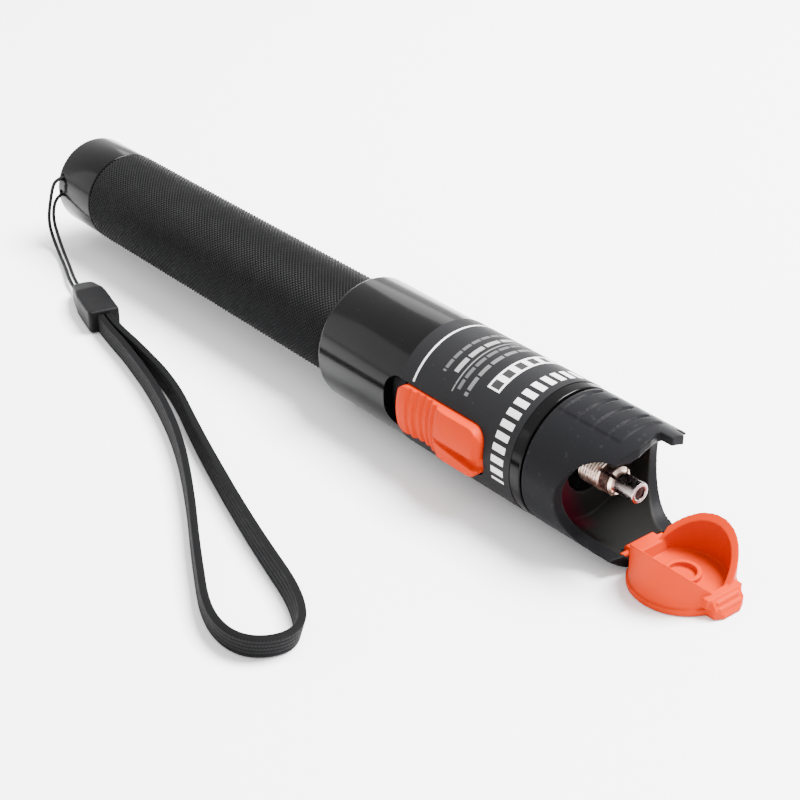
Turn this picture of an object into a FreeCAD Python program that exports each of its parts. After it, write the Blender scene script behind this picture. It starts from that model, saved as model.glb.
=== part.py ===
"""Pen-type visual fault locator for fibre connectors, drawn from named sizes.

The pen lies along X with its head toward +X and +Z up.  The origin is on the
pen's axis, at the mouth of the ferrule sleeve.  All sizes are millimetres.
"""
import FreeCAD, Part
import math
import os
import re

import Sketcher

Vector = FreeCAD.Vector
Rotation = FreeCAD.Rotation
Placement = FreeCAD.Placement

# What repeats.
LINE_COUNT = 4
GROOVE_COUNT = 5
SLOT_COUNT = 2
PIN_COUNT = 3

doc = FreeCAD.newDocument("VisualFaultLocator")

# Each driving size is written once: alias, value, what it is.
DRIVING_SIZES = (
    ("head_length_back", 16.94, "sleeve mouth back to the head's joint"),
    ("front_body_length", 59.0, "front body, joint to joint"),
    ("tail_cap_length", 14.5, "visible length of the tail cap"),
    ("body_radius", 13.0, "front body and head"),
    ("body_wall", 2.0, "front body wall"),
    ("grip_radius", 10.6, "knurled tube"),
    ("tail_radius", 10.5, "tail cap"),
    ("joint_gap", 0.3, "dark line between head and front body"),
    ("edge_break", 0.4, "small chamfer on turned edges"),
    ("overlap", 0.1, "how far joined forms run into each other"),
    ("past", 1.0, "how far a cut runs past the material"),
    ("rear_chamfer", 1.1, "chamfer at the front body's rear edge"),
    ("battery_radius", 7.25, "AA cell"),
    ("battery_body", 49.4, "AA cell without its button"),
    ("battery_button", 1.1, "height of the cell's button"),
    ("battery_button_radius", 2.7, "radius of the cell's button"),
    ("battery_clearance", 0.4, "cell to tube"),
    ("joint_depth", 9.5, "length of the screwed spigots"),
    ("joint_wall", 2.2, "wall of the grip tube's front spigot"),
    ("thread_clearance", 0.08, "radial clearance of screwed joints"),
    ("tail_spigot_length", 7.5, "length of the tail cap's spigot"),
    ("tail_spigot_wall", 1.4, "wall of the tail cap's spigot"),
    ("seal_wire", 0.55, "radius of the seal rings' section"),
    ("seal_setback", 2.2, "seal ring's centre behind its shoulder"),
    ("seal_squeeze", 0.05, "how far a seal ring stands out of its spigot"),
    ("seal_room", 0.1, "groove beyond the seal ring, to each side"),
    ("tail_seam", 0.05, "tail cap's shoulder to the knurled tube"),
    ("socket_relief", 1.0, "tail socket beyond the cap's spigot"),
    ("contact_depth", 5.4, "battery contact ahead of the front body's rear edge"),
    ("contact_thickness", 0.6, "brass contact plate"),
    ("disc_play", 0.1, "contact insulator in the battery bore"),
    ("tail_recess_radius", 8.2, "dished end of the tail cap"),
    ("tail_recess_depth", 3.0, "depth of the dished end"),
    ("tail_end_wall", 2.0, "end wall of the tail cap"),
    ("lanyard_hole_radius", 0.8, "string holes in the tail rim"),
    ("lanyard_hole_setback", 2.0, "string holes ahead of the tail's end"),
    ("lanyard_hole_spread", 3.7, "distance between the two string holes"),
    ("spring_wire", 0.4, "radius of the tail spring's wire"),
    ("spring_radius", 5.2, "coil radius of the tail spring"),
    ("spring_turns", 3.0, "turns of the tail spring"),
    ("spring_gap", 0.2, "tail spring to the cell"),
    ("spring_room", 4.9, "tail cap's inner face to the rear cell"),
    ("spring_wire_sides", 8, "flats of the spring wire's section"),
    ("label_rear_back", 51.02, "sleeve mouth back to the label's rear edge"),
    ("label_front_back", 19.4, "sleeve mouth back to the label's front edge"),
    ("label_thickness", 0.12, "printed foil"),
    ("button_front_back", 26.55, "sleeve mouth back to the button's front end"),
    ("button_length", 24.3, "slide button"),
    ("button_half_width", 5.0, "slide button, half its width"),
    ("button_corner", 3.0, "corner radius of the button"),
    ("button_depth", 2.5, "body's surface to the button's underside"),
    ("button_rear_rise", 1.0, "button's rear above the body"),
    ("button_dip_rise", 0.55, "finger dip above the body"),
    ("button_front_rise", 2.0, "raised front above the body"),
    ("button_groove_pitch", 1.9, "finger grooves"),
    ("button_groove_width", 0.7, "finger grooves"),
    ("button_groove_depth", 0.25, "finger grooves"),
    ("button_nose", 1.4, "length of the button's rounded front"),
    ("button_tail", 1.2, "length of the button's sloping rear"),
    ("thumb_channel_depth", 0.9, "channel along the raised front"),
    ("switch_travel", 3.6, "travel of the slide button"),
    ("slot_clearance", 0.3, "button to slot"),
    ("foot_length", 18.0, "button's foot in the switch bed"),
    ("foot_half_width", 3.6, "button's foot in the switch bed"),
    ("foot_height", 1.8, "button's foot in the switch bed"),
    ("bed_wall", 2.0, "switch bed round the slot"),
    ("bed_floor", 1.0, "floor of the switch bed"),
    ("bed_front_wall", 1.2, "switch bed ahead of the slot"),
    ("fork_half_length", 2.2, "fork under the button's foot"),
    ("fork_half_width", 1.6, "fork under the button's foot"),
    ("lever_half_width", 0.7, "lever of the slide switch"),
    ("lever_clearance", 0.1, "lever in its fork"),
    ("lever_rise_gap", 0.2, "lever's tip to the button's foot"),
    ("lever_depth", 1.6, "lever inside the slide switch"),
    ("fork_drop", 0.5, "fork below the switch bed"),
    ("fork_gap_below", 0.2, "fork to the slide switch"),
    ("switch_can_half_length", 5.4, "slide switch"),
    ("switch_can_half_width", 2.2, "slide switch"),
    ("board_height", 2.6, "board's face above the axis, toward the button"),
    ("board_thickness", 1.6, "circuit board"),
    ("board_half_width", 8.0, "circuit board"),
    ("board_gap", 1.2, "circuit board to the laser holder"),
    ("board_inset", 1.5, "circuit board to the carrier's rear end"),
    ("board_seat", 1.0, "ledge under each edge of the board"),
    ("part_gap", 1.0, "board parts to the board's end and to the slide switch"),
    ("chip_length", 5.0, "driver chip"),
    ("chip_half_width", 2.0, "driver chip"),
    ("chip_height", 1.6, "driver chip"),
    ("inductor_length", 4.5, "power inductor"),
    ("inductor_half_width", 2.4, "power inductor"),
    ("inductor_height", 2.6, "power inductor"),
    ("carrier_clearance", 0.3, "board carrier in the front body"),
    ("carrier_front_back", 25.2, "sleeve mouth back to the carrier's front"),
    ("carrier_collar", 3.3, "carrier's ring round the laser holder"),
    ("carrier_wall", 2.4, "carrier's tub"),
    ("head_wall", 2.2, "wall of the moulded head"),
    ("head_spigot_length", 7.5, "head's spigot inside the front body"),
    ("head_spigot_wall", 1.4, "wall of the head's spigot"),
    ("head_floor_back", 12.5, "sleeve mouth back to the floor of the head"),
    ("head_floor_thickness", 3.0, "floor of the head round the laser holder"),
    ("claw_reach", 2.5, "claws beyond the sleeve mouth"),
    ("claw_corner_reach", 1.8, "claw corners beyond the sleeve mouth"),
    ("hook_reach", 5.0, "hook of the top claw beyond the sleeve mouth"),
    ("hook_near_side", 1.3, "hook's near side from the middle plane"),
    ("hook_far_side", 5.0, "hook's far side from the middle plane"),
    ("hook_thickness", 1.65, "hook of the top claw"),
    ("notch_lean", 0.6, "how far the claw's edge leans beside the hook"),
    ("notch_slope", 3.0, "width of the slope beside the hook"),
    ("window_margin", 3.5, "body's surface to the side windows' edges"),
    ("window_centre", 1.3, "centre of the windows' round end"),
    ("grip_line_pitch", 3.7, "grip lines on the top claw"),
    ("grip_line_width", 0.7, "grip lines on the top claw"),
    ("grip_line_depth", 0.35, "grip lines on the top claw"),
    ("grip_line_angle", 52.0, "how far the grip lines reach round the claw"),
    ("first_grip_line_back", 14.9, "sleeve mouth back to the rearmost grip line"),
    ("pad_rise", 0.2, "raised pad that carries the grip lines"),
    ("pad_margin", 0.8, "raised pad beyond its end lines"),
    ("pad_slope", 0.4, "sloping ends of the raised pad"),
    ("holder_radius", 5.2, "laser holder"),
    ("holder_rear_back", 31.0, "sleeve mouth back to the holder's rear"),
    ("holder_proud", 0.3, "holder beyond the head's floor"),
    ("holder_seat_depth", 4.0, "collet seat in the holder"),
    ("diode_seat_depth", 4.2, "diode seat in the holder"),
    ("light_step", 0.15, "light bore beyond the collet's bore"),
    ("diode_flange", 1.2, "laser diode"),
    ("diode_can", 2.4, "laser diode"),
    ("diode_clearance", 0.2, "diode's can in the light bore"),
    ("pin_circle", 1.0, "diode's pins from the axis"),
    ("pin_radius", 0.23, "diode's pins"),
    ("lens_back", 5.0, "collet seat back to the lens's flat face"),
    ("lens_edge", 1.4, "lens at its edge"),
    ("lens_bulge", 1.0, "rise of the lens's curved face"),
    ("collet_radius", 3.0, "threaded collet"),
    ("collet_shoulder_back", 7.5, "sleeve mouth back to the collet's shoulder"),
    ("petal_front_back", 4.8, "sleeve mouth back to the petals' tips"),
    ("petal_radius", 2.8, "petals of the collet"),
    ("petal_slot", 0.7, "slots between the petals"),
    ("petal_root", 1.5, "slots behind the collet's shoulder"),
    ("sleeve_radius", 2.0, "ferrule sleeve"),
    ("sleeve_length", 13.0, "ferrule sleeve"),
    ("sleeve_lip", 0.6, "front lip of the ferrule sleeve"),
    ("sleeve_fit", 0.05, "sleeve in its collet, collet and diode in the holder"),
    ("ferrule_radius", 1.25, "bore for a 2.5 mm ferrule"),
    ("split_sleeve_wall", 0.35, "ceramic split sleeve"),
    ("split_gap", 0.4, "slit of the ceramic sleeve"),
    ("split_play", 0.02, "ceramic sleeve in the steel one"),
    ("split_inset", 0.4, "ceramic sleeve inside the steel one's rear end"),
    ("split_lip_gap", 0.05, "ceramic sleeve to the front lip"),
    ("cap_margin", 3.8, "body's surface to the dust cap's edge"),
    ("cap_wall", 1.3, "wings of the dust cap"),
    ("cap_floor", 1.9, "disc of the dust cap"),
    ("cap_rim_rise", 1.2, "height of the cap's rim"),
    ("cap_rim_reach", 0.4, "how far the rim stands out"),
    ("hinge_inset", 2.8, "body's surface to the hinge axis"),
    ("cap_drop", 0.6, "closed cap below the axis, so that it clears the hook"),
    ("wing_slope", 0.89, "rise of the wings' edge per distance from the middle"),
    ("hinge_reach", 1.3, "hinge axis beyond the sleeve mouth"),
    ("hinge_bar_half_width", 3.4, "hinge bar"),
    ("hinge_bar_rear", 1.1, "hinge bar behind its axis"),
    ("hinge_bar_above", 1.2, "hinge bar above its axis"),
    ("hinge_bar_below", 0.7, "hinge bar below its axis"),
    ("hinge_web_gap", 0.4, "open cap to the claw's edge"),
    ("hinge_web", 1.2, "web between hinge bar and disc"),
    ("hinge_pin_radius", 0.6, "pins at the hinge bar's ends"),
    ("hinge_pin_reach", 1.8, "length of each hinge pin"),
    ("hinge_pin_clearance", 0.06, "hinge pin in its hole"),
    ("socket_clearance", 0.27, "hinge bar in its socket"),
    ("latch_bar_length", 1.6, "latch bar along the cap"),
    ("latch_bar_half_width", 4.3, "latch bar"),
    ("latch_bar_inset", 1.1, "latch bar's rear face inside the cap's edge"),
    ("latch_bar_rise", 1.7, "latch bar above the disc"),
    ("tab_half_width", 3.6, "finger tab"),
    ("tab_clearance", 0.3, "tab's tip to the hook when closed"),
    ("tab_lip", 0.7, "thickness of the tab's tip"),
    ("tab_round", 0.85, "length of the tab's rounded tip"),
    ("tab_rib_radius", 0.32, "ribs across the tab"),
    ("tab_rib_inset", 0.9, "ribs from the tab's sides"),
    ("boss_radius", 3.4, "ring in the middle of the cap"),
    ("boss_wall", 0.9, "ring in the middle of the cap"),
    ("boss_rise", 1.0, "ring in the middle of the cap"),
    ("clamp_length", 19.6, "lanyard clamp"),
    ("clamp_half_width", 3.8, "lanyard clamp"),
    ("clamp_height", 5.2, "lanyard clamp"),
    ("clamp_nose_half_width", 1.3, "flat of the clamp's nose"),
    ("clamp_nose_height", 2.6, "height of the clamp's nose"),
    ("clamp_slope", 8.0, "length of the clamp's sloping nose"),
    ("clamp_taper", 0.3, "how much the clamp narrows toward the strap, to each side"),
    ("clamp_shoulder", 3.2, "length of the clamp's narrowing nose"),
    ("clamp_end_ahead", 48.04, "strap end of the clamp ahead of the tail"),
    ("clamp_end_aside", 27.4, "strap end of the clamp beside the axis"),
    ("clamp_turn", -13.5, "clamp's angle to the pen in degrees"),
    ("string_radius", 0.4, "lanyard string"),
    ("string_spread", 0.6, "each strand from the clamp's middle"),
    ("string_lead", 5.0, "straight end of each strand at the clamp"),
    ("strap_thickness", 1.4, "woven strap"),
    ("strap_height", 4.4, "width of the woven strap, which stands on edge"),
    ("strap_spread", 0.9, "each strap leg from the clamp's middle"),
    ("strap_lead", 5.5, "straight end of each strap leg at the clamp"),
)

# What follows from the driving sizes, worked out inside the document's expressions.
WORKED_OUT = {
    "body_front": "-head_length_back",
    "body_rear": "body_front - front_body_length",
    "body_bore": "body_radius - body_wall",
    "battery_bore": "battery_radius + battery_clearance",
    "spigot_radius": "battery_bore + joint_wall",
    "joint_bore": "spigot_radius + thread_clearance",
    "spigot_front": "body_rear + joint_depth",
    "tail_spigot_radius": "battery_bore + tail_spigot_wall",
    "tail_socket": "tail_spigot_radius + thread_clearance",
    "tail_spigot_front": "grip_rear + tail_spigot_length",
    "tail_socket_floor": "tail_spigot_front + socket_relief",
    "contact_plane": "body_rear + contact_depth",
    "insulator_rear": "contact_plane + contact_thickness",
    "carrier_rear": "spigot_front + 2 * edge_break",
    "battery_pitch": "battery_body + battery_button",
    "battery_end": "contact_plane - 2 * battery_pitch",
    "tail_inner_face": "battery_end - spring_room",
    "tail_rear": "tail_inner_face - tail_end_wall - tail_recess_depth",
    "grip_rear": "tail_rear + tail_cap_length",
    "label_rear": "-label_rear_back",
    "label_front": "-label_front_back",
    "label_radius": "body_radius + label_thickness",
    "button_front": "-button_front_back",
    "button_rear": "button_front - button_length",
    "button_middle": "button_front - button_length / 2",
    "slot_front": "button_front + slot_clearance",
    "slot_rear": "button_rear - switch_travel - slot_clearance",
    "slot_half_width": "button_half_width + slot_clearance",
    "slot_corner": "button_corner + slot_clearance",
    "button_root": "body_radius - button_depth",
    "foot_front": "button_middle + foot_length / 2",
    "foot_rear": "button_middle - foot_length / 2",
    "foot_root": "button_root - foot_height",
    "bed_top": "button_root - slot_clearance",
    "trough_root": "foot_root - slot_clearance",
    "bed_root": "trough_root - bed_floor",
    "fork_root": "bed_root - fork_drop",
    "switch_middle": "button_middle - switch_travel / 2",
    "switch_can_rear": "switch_middle - switch_can_half_length",
    "switch_can_front": "switch_middle + switch_can_half_length",
    "switch_can_top": "fork_root - fork_gap_below",
    "board_rear": "carrier_rear + board_inset",
    "chip_rear": "board_rear + part_gap",
    "inductor_front": "switch_can_rear - part_gap",
    "board_front": "-(holder_rear_back + board_gap)",
    "board_face": "board_height - board_thickness",
    "carrier_radius": "body_bore - carrier_clearance",
    "carrier_front": "-carrier_front_back",
    "collar_rear": "carrier_front - carrier_collar",
    "head_bore": "body_radius - head_wall",
    "head_rear": "body_front + joint_gap",
    "head_spigot_rear": "body_front - head_spigot_length",
    "head_spigot_radius": "body_bore - thread_clearance",
    "head_floor": "-head_floor_back",
    "head_hub_rear": "head_floor - head_floor_thickness",
    "holder_bore": "holder_radius + sleeve_fit",
    "holder_front": "head_floor + holder_proud",
    "holder_rear": "-holder_rear_back",
    "collet_seat": "holder_front - holder_seat_depth",
    "diode_seat": "holder_rear + diode_seat_depth",
    "collet_bore": "sleeve_radius + sleeve_fit",
    "light_bore": "collet_bore + light_step",
    "collet_shoulder": "-collet_shoulder_back",
    "petal_front": "-petal_front_back",
    "sleeve_rear": "-sleeve_length",
    "sleeve_bore": "ferrule_radius + split_sleeve_wall + split_play",
    "hook_root": "body_radius - hook_thickness",
    "window_radius": "body_radius - window_margin",
    "hinge_height": "hinge_inset - body_radius",
    "cap_radius": "body_radius - cap_margin",
    "cap_centre": "hinge_reach - hinge_height - cap_drop",
    "socket_radius": "sqrt(hinge_bar_rear ^ 2 + hinge_bar_above ^ 2) + socket_clearance",
    "cap_face": "cap_floor - body_radius",
    "cap_cut": "claw_reach + hinge_web_gap",
    "latch_bar_rear": "cap_centre + cap_radius - latch_bar_inset",
    "latch_bar_front": "latch_bar_rear + latch_bar_length",
    "latch_bar_top": "cap_face + latch_bar_rise",
    "tab_reach": "hook_root - tab_clearance",
    "tab_axis": "cap_centre + cap_drop",
    "tab_tip": "tab_axis + tab_reach",
    "strap_middle": "strap_height / 2 - body_radius",
    "clamp_end_x": "tail_rear + clamp_end_ahead",
    "clamp_end_y": "-clamp_end_aside",
}

sheet = doc.addObject("Spreadsheet::Sheet", "Sizes")
sheet.set("A1", "size")
sheet.set("B1", "value")
sheet.set("C1", "meaning")
for row, (alias, amount, meaning) in enumerate(DRIVING_SIZES, start=2):
    sheet.set(f"A{row}", alias)
    sheet.set(f"B{row}", str(amount))
    sheet.set(f"C{row}", meaning)
    sheet.setAlias(f"B{row}", alias)
doc.recompute()

ALIASES = {alias for alias, _, _ in DRIVING_SIZES}
WORD = re.compile(r"[a-z][a-z_]+")


def tied(formula):
    """Return a formula with each named size replaced by its place in the sheet."""
    def link(match):
        word = match.group(0)
        if word in WORKED_OUT:
            return "(" + tied(WORKED_OUT[word]) + ")"
        if word in ALIASES:
            return "Sizes." + word
        return word
    return WORD.sub(link, str(formula))


def number(formula):
    """Return what a formula comes to now."""
    return float(sheet.evalExpression(tied(formula)))


def bind(item, prop, formula):
    """Tie a property of a document object to a formula of named sizes."""
    item.setExpression(prop, tied(formula))


# --- Sketches ---------------------------------------------------------------

def origin_feature(body, role):
    """Return one of a body's origin planes or axes."""
    return next(item for item in body.Origin.OriginFeatures if item.Role == role)


def new_body(name):
    """Start a body whose label names the piece."""
    body = doc.addObject("PartDesign::Body", name)
    body.Label = name
    return body


def new_sketch(body, role, name, shift=None):
    """Start a sketch on an origin plane, moved along the plane's normal by shift."""
    sketch = body.newObject("Sketcher::SketchObject", name)
    sketch.AttachmentSupport = (origin_feature(body, role), [""])
    sketch.MapMode = "FlatFace"
    if shift is not None:
        bind(sketch, ".AttachmentOffset.Base.z", shift)
    return sketch


def fix_coordinate(sketch, kind, axis, item, corner, formula):
    """Hold one coordinate of a sketch point at a formula."""
    if str(formula) == "0":
        sketch.addConstraint(Sketcher.Constraint("PointOnObject", item, corner, axis))
        return
    constraint = Sketcher.Constraint(kind, -1, 1, item, corner, number(formula))
    index = sketch.addConstraint(constraint)
    bind(sketch, f"Constraints[{index}]", formula)


def fix_point(sketch, item, corner, across, along):
    """Hold a sketch point at two formulas."""
    fix_coordinate(sketch, "DistanceX", -2, item, corner, across)
    fix_coordinate(sketch, "DistanceY", -1, item, corner, along)


def polygon(body, role, name, corners, shift=None):
    """Draw a closed outline of straight lines, with each corner at its formulas."""
    sketch = new_sketch(body, role, name, shift)
    points = [Vector(number(across), number(along), 0) for across, along in corners]
    count = len(points)
    for index in range(count):
        line = Part.LineSegment(points[index], points[(index + 1) % count])
        sketch.addGeometry(line, False)
    for index in range(count):
        following = (index + 1) % count
        sketch.addConstraint(Sketcher.Constraint("Coincident", index, 2, following, 1))
    for index, (across, along) in enumerate(corners):
        fix_point(sketch, index, 1, across, along)
    return sketch


def circle(body, role, name, across, along, radius, shift=None):
    """Draw a circle."""
    sketch = new_sketch(body, role, name, shift)
    centre = Vector(number(across), number(along), 0)
    round_line = Part.Circle(centre, Vector(0, 0, 1), number(radius))
    item = sketch.addGeometry(round_line, False)
    fix_point(sketch, item, 3, across, along)
    index = sketch.addConstraint(Sketcher.Constraint("Radius", item, number(radius)))
    bind(sketch, f"Constraints[{index}]", radius)
    return sketch


def rounded_box(body, role, name, low, high, corner, shift=None):
    """Draw a rectangle with round corners; low and high are pairs of formulas."""
    sketch = new_sketch(body, role, name, shift)
    left, bottom = (number(value) for value in low)
    right, top = (number(value) for value in high)
    radius = number(corner)
    normal = Vector(0, 0, 1)

    def point(across, along):
        return Vector(across, along, 0)

    def arc(across, along, start):
        ring = Part.Circle(point(across, along), normal, radius)
        return Part.ArcOfCircle(ring, start, start + math.pi / 2)

    lines = (
        (point(left + radius, bottom), point(right - radius, bottom)),
        (point(right, bottom + radius), point(right, top - radius)),
        (point(right - radius, top), point(left + radius, top)),
        (point(left, top - radius), point(left, bottom + radius)),
    )
    arcs = (
        arc(right - radius, bottom + radius, -math.pi / 2),
        arc(right - radius, top - radius, 0),
        arc(left + radius, top - radius, math.pi / 2),
        arc(left + radius, bottom + radius, math.pi),
    )
    sides = [sketch.addGeometry(Part.LineSegment(a, b), False) for a, b in lines]
    bends = [sketch.addGeometry(piece, False) for piece in arcs]
    for index in range(4):
        following = sides[(index + 1) % 4]
        sketch.addConstraint(Sketcher.Constraint("Tangent", sides[index], 2, bends[index], 1))
        sketch.addConstraint(Sketcher.Constraint("Tangent", bends[index], 2, following, 1))
    for index, kind in enumerate(("Horizontal", "Vertical", "Horizontal", "Vertical")):
        sketch.addConstraint(Sketcher.Constraint(kind, sides[index]))
    for bend in bends[1:]:
        sketch.addConstraint(Sketcher.Constraint("Equal", bends[0], bend))
    index = sketch.addConstraint(Sketcher.Constraint("Radius", bends[0], radius))
    bind(sketch, f"Constraints[{index}]", corner)
    fix_coordinate(sketch, "DistanceY", -1, sides[0], 1, low[1])
    fix_coordinate(sketch, "DistanceX", -2, sides[1], 1, high[0])
    fix_coordinate(sketch, "DistanceY", -1, sides[2], 1, high[1])
    fix_coordinate(sketch, "DistanceX", -2, sides[3], 1, low[0])
    return sketch


def window_outline(body, role, name, centre, radius, reach):
    """Draw a U that is round at the rear and open toward the front."""
    sketch = new_sketch(body, role, name)
    middle, size, front = number(centre), number(radius), number(reach)
    ring = Part.Circle(Vector(middle, 0, 0), Vector(0, 0, 1), size)
    bend = sketch.addGeometry(Part.ArcOfCircle(ring, math.pi / 2, 3 * math.pi / 2), False)
    corners = (
        Vector(middle, -size, 0),
        Vector(front, -size, 0),
        Vector(front, size, 0),
        Vector(middle, size, 0),
    )
    sides = [
        sketch.addGeometry(Part.LineSegment(corners[index], corners[index + 1]), False)
        for index in range(3)
    ]
    sketch.addConstraint(Sketcher.Constraint("Tangent", bend, 2, sides[0], 1))
    sketch.addConstraint(Sketcher.Constraint("Coincident", sides[0], 2, sides[1], 1))
    sketch.addConstraint(Sketcher.Constraint("Coincident", sides[1], 2, sides[2], 1))
    sketch.addConstraint(Sketcher.Constraint("Tangent", sides[2], 2, bend, 1))
    sketch.addConstraint(Sketcher.Constraint("Horizontal", sides[0]))
    sketch.addConstraint(Sketcher.Constraint("Vertical", sides[1]))
    fix_point(sketch, bend, 3, centre, "0")
    index = sketch.addConstraint(Sketcher.Constraint("Radius", bend, size))
    bind(sketch, f"Constraints[{index}]", radius)
    fix_coordinate(sketch, "DistanceX", -2, sides[1], 1, reach)
    return sketch


# --- Features ---------------------------------------------------------------

def solid_volume(body):
    """Return the volume that a body has now."""
    doc.recompute()
    return body.Shape.Volume


def sized_extrusion(body, kind, name, sketch, length, backward, both_ways):
    """Add a pad or pocket of a length given by a formula, or through everything."""
    feature = body.newObject(kind, name)
    feature.Profile = sketch
    if both_ways:
        feature.SideType = "Symmetric"
    feature.Reversed = backward
    if length is None:
        feature.Type = "ThroughAll"
    else:
        bind(feature, "Length", length)
    body.Tip = feature
    return feature


def pad(body, name, sketch, length, backward=False, both_ways=False):
    """Add material to a body."""
    kind = "PartDesign::Pad"
    return sized_extrusion(body, kind, name, sketch, length, backward, both_ways)


def pocket(body, name, sketch, length=None, backward=False, both_ways=False):
    """Cut material from a body and make sure that the cut met it."""
    before = solid_volume(body)
    kind = "PartDesign::Pocket"
    feature = sized_extrusion(body, kind, name, sketch, length, backward, both_ways)
    if solid_volume(body) > before - 1e-6:
        raise RuntimeError(f"{name} cuts nothing from {body.Label}")
    return feature


def turn(body, name, sketch, angle="360"):
    """Turn a profile about the sketch's horizontal axis, which is the pen's axis."""
    feature = body.newObject("PartDesign::Revolution", name)
    feature.Profile = sketch
    feature.ReferenceAxis = (sketch, ["H_Axis"])
    feature.Midplane = True
    bind(feature, "Angle", angle)
    body.Tip = feature
    return feature


def turned_cut(body, name, sketch, angle="360"):
    """Cut a groove by turning a profile about the pen's axis."""
    before = solid_volume(body)
    feature = body.newObject("PartDesign::Groove", name)
    feature.Profile = sketch
    feature.ReferenceAxis = (sketch, ["H_Axis"])
    feature.Midplane = True
    bind(feature, "Angle", angle)
    body.Tip = feature
    if solid_volume(body) > before - 1e-6:
        raise RuntimeError(f"{name} cuts nothing from {body.Label}")
    return feature


def row_of(body, name, original, sketch, pitch, copies):
    """Repeat a feature along the pen."""
    pattern = body.newObject("PartDesign::LinearPattern", name)
    pattern.Originals = [original]
    pattern.Direction = (sketch, ["H_Axis"])
    bind(pattern, "Length", f"({pitch}) * {copies - 1}")
    pattern.Occurrences = copies
    body.Tip = pattern
    return pattern


def ring_of(body, name, original, copies):
    """Repeat a feature evenly about the pen's axis."""
    pattern = body.newObject("PartDesign::PolarPattern", name)
    pattern.Originals = [original]
    pattern.Axis = (origin_feature(body, "X_Axis"), [""])
    pattern.Angle = 360
    pattern.Occurrences = copies
    body.Tip = pattern
    return pattern


def turned_piece(name, corners):
    """Make a body by turning a profile of (along, radius) corners."""
    body = new_body(name)
    turn(body, f"{name}_turn", polygon(body, "XZ_Plane", f"{name}_profile", corners))
    return body


def block(body, name, low, high, depth_low, depth_high):
    """Pad a box between two depths toward the button; low and high are corners."""
    corners = ((low[0], low[1]), (high[0], low[1]), (high[0], high[1]), (low[0], high[1]))
    sketch = polygon(body, "XZ_Plane", f"{name}_outline", corners, depth_low)
    return pad(body, name, sketch, f"({depth_high}) - ({depth_low})")


def seal_ring(name, shoulder, spigot):
    """Make a rubber ring in the groove of a spigot."""
    ring = doc.addObject("Part::Torus", name)
    ring.Label = name
    bind(ring, "Radius2", "seal_wire")
    bind(ring, "Radius1", f"{spigot} + seal_squeeze - seal_wire")
    ring.Placement = Placement(Vector(), Rotation(Vector(0, 1, 0), 90))
    bind(ring, ".Placement.Base.x", f"{shoulder} + seal_setback")
    return ring


def seal_groove(body, name, shoulder, spigot):
    """Cut the groove that a seal ring lies in."""
    middle = f"{shoulder} + seal_setback"
    room = "(seal_wire + seal_room)"
    bottom = f"{spigot} + seal_squeeze - 2 * seal_wire"
    corners = (
        (f"{middle} - {room}", bottom),
        (f"{middle} + {room}", bottom),
        (f"{middle} + {room}", f"{spigot} + seal_wire"),
        (f"{middle} - {room}", f"{spigot} + seal_wire"),
    )
    turned_cut(body, name, polygon(body, "XZ_Plane", f"{name}_profile", corners))


# --- Tubes: front body, label, grip, tail cap --------------------------------

def slot_outline(body, name):
    """Draw the slot that the slide button runs in."""
    low = ("slot_rear", "-slot_half_width")
    high = ("slot_front", "slot_half_width")
    return rounded_box(body, "XZ_Plane", name, low, high, "slot_corner")


def make_front_body():
    body = turned_piece("front_body", (
        ("body_rear", "joint_bore"),
        ("body_rear", "body_radius - rear_chamfer"),
        ("body_rear + rear_chamfer", "body_radius"),
        ("body_front - edge_break", "body_radius"),
        ("body_front", "body_radius - edge_break"),
        ("body_front", "body_bore"),
        ("spigot_front + edge_break", "body_bore"),
        ("spigot_front + edge_break", "joint_bore"),
    ))
    pocket(body, "switch_slot", slot_outline(body, "slot_outline"), backward=True)
    return body


def make_label_wrap():
    body = turned_piece("label_wrap", (
        ("label_rear", "body_radius"),
        ("label_rear", "label_radius"),
        ("label_front", "label_radius"),
        ("label_front", "body_radius"),
    ))
    pocket(body, "label_window", slot_outline(body, "window_outline"), backward=True)
    return body


def make_grip_tube():
    body = turned_piece("grip_tube", (
        ("grip_rear", "tail_socket"),
        ("grip_rear", "grip_radius - edge_break"),
        ("grip_rear + edge_break", "grip_radius"),
        ("body_rear", "grip_radius"),
        ("body_rear", "spigot_radius"),
        ("spigot_front - edge_break", "spigot_radius"),
        ("spigot_front", "spigot_radius - edge_break"),
        ("spigot_front", "battery_bore"),
        ("tail_socket_floor", "battery_bore"),
        ("tail_socket_floor", "tail_socket"),
    ))
    seal_groove(body, "front_seal_groove", "body_rear", "spigot_radius")
    return body


def make_tail_cap():
    body = turned_piece("tail_cap", (
        ("tail_rear + tail_recess_depth", "0"),
        ("tail_rear + tail_recess_depth", "tail_recess_radius - edge_break"),
        ("tail_rear + edge_break", "tail_recess_radius"),
        ("tail_rear", "tail_recess_radius + edge_break"),
        ("tail_rear", "tail_radius - 2 * edge_break"),
        ("tail_rear + edge_break", "tail_radius - edge_break / 2"),
        ("tail_rear + 2 * edge_break", "tail_radius"),
        ("grip_rear - edge_break", "tail_radius"),
        ("grip_rear - tail_seam", "tail_radius - edge_break"),
        ("grip_rear - tail_seam", "tail_spigot_radius"),
        ("tail_spigot_front - edge_break", "tail_spigot_radius"),
        ("tail_spigot_front", "tail_spigot_radius - edge_break"),
        ("tail_spigot_front", "battery_bore"),
        ("tail_inner_face", "battery_bore"),
        ("tail_inner_face", "0"),
    ))
    seal_groove(body, "tail_seal_groove", "grip_rear", "tail_spigot_radius")
    hole_x = "tail_rear + lanyard_hole_setback"
    for name, height in (("upper_hole", "lanyard_hole_spread"), ("lower_hole", "0")):
        outline = circle(body, "XZ_Plane", f"{name}_outline", hole_x, height,
                         "lanyard_hole_radius", "tail_recess_radius - past")
        pocket(body, name, outline, "tail_radius - tail_recess_radius + 2 * past", backward=True)
    return body


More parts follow.
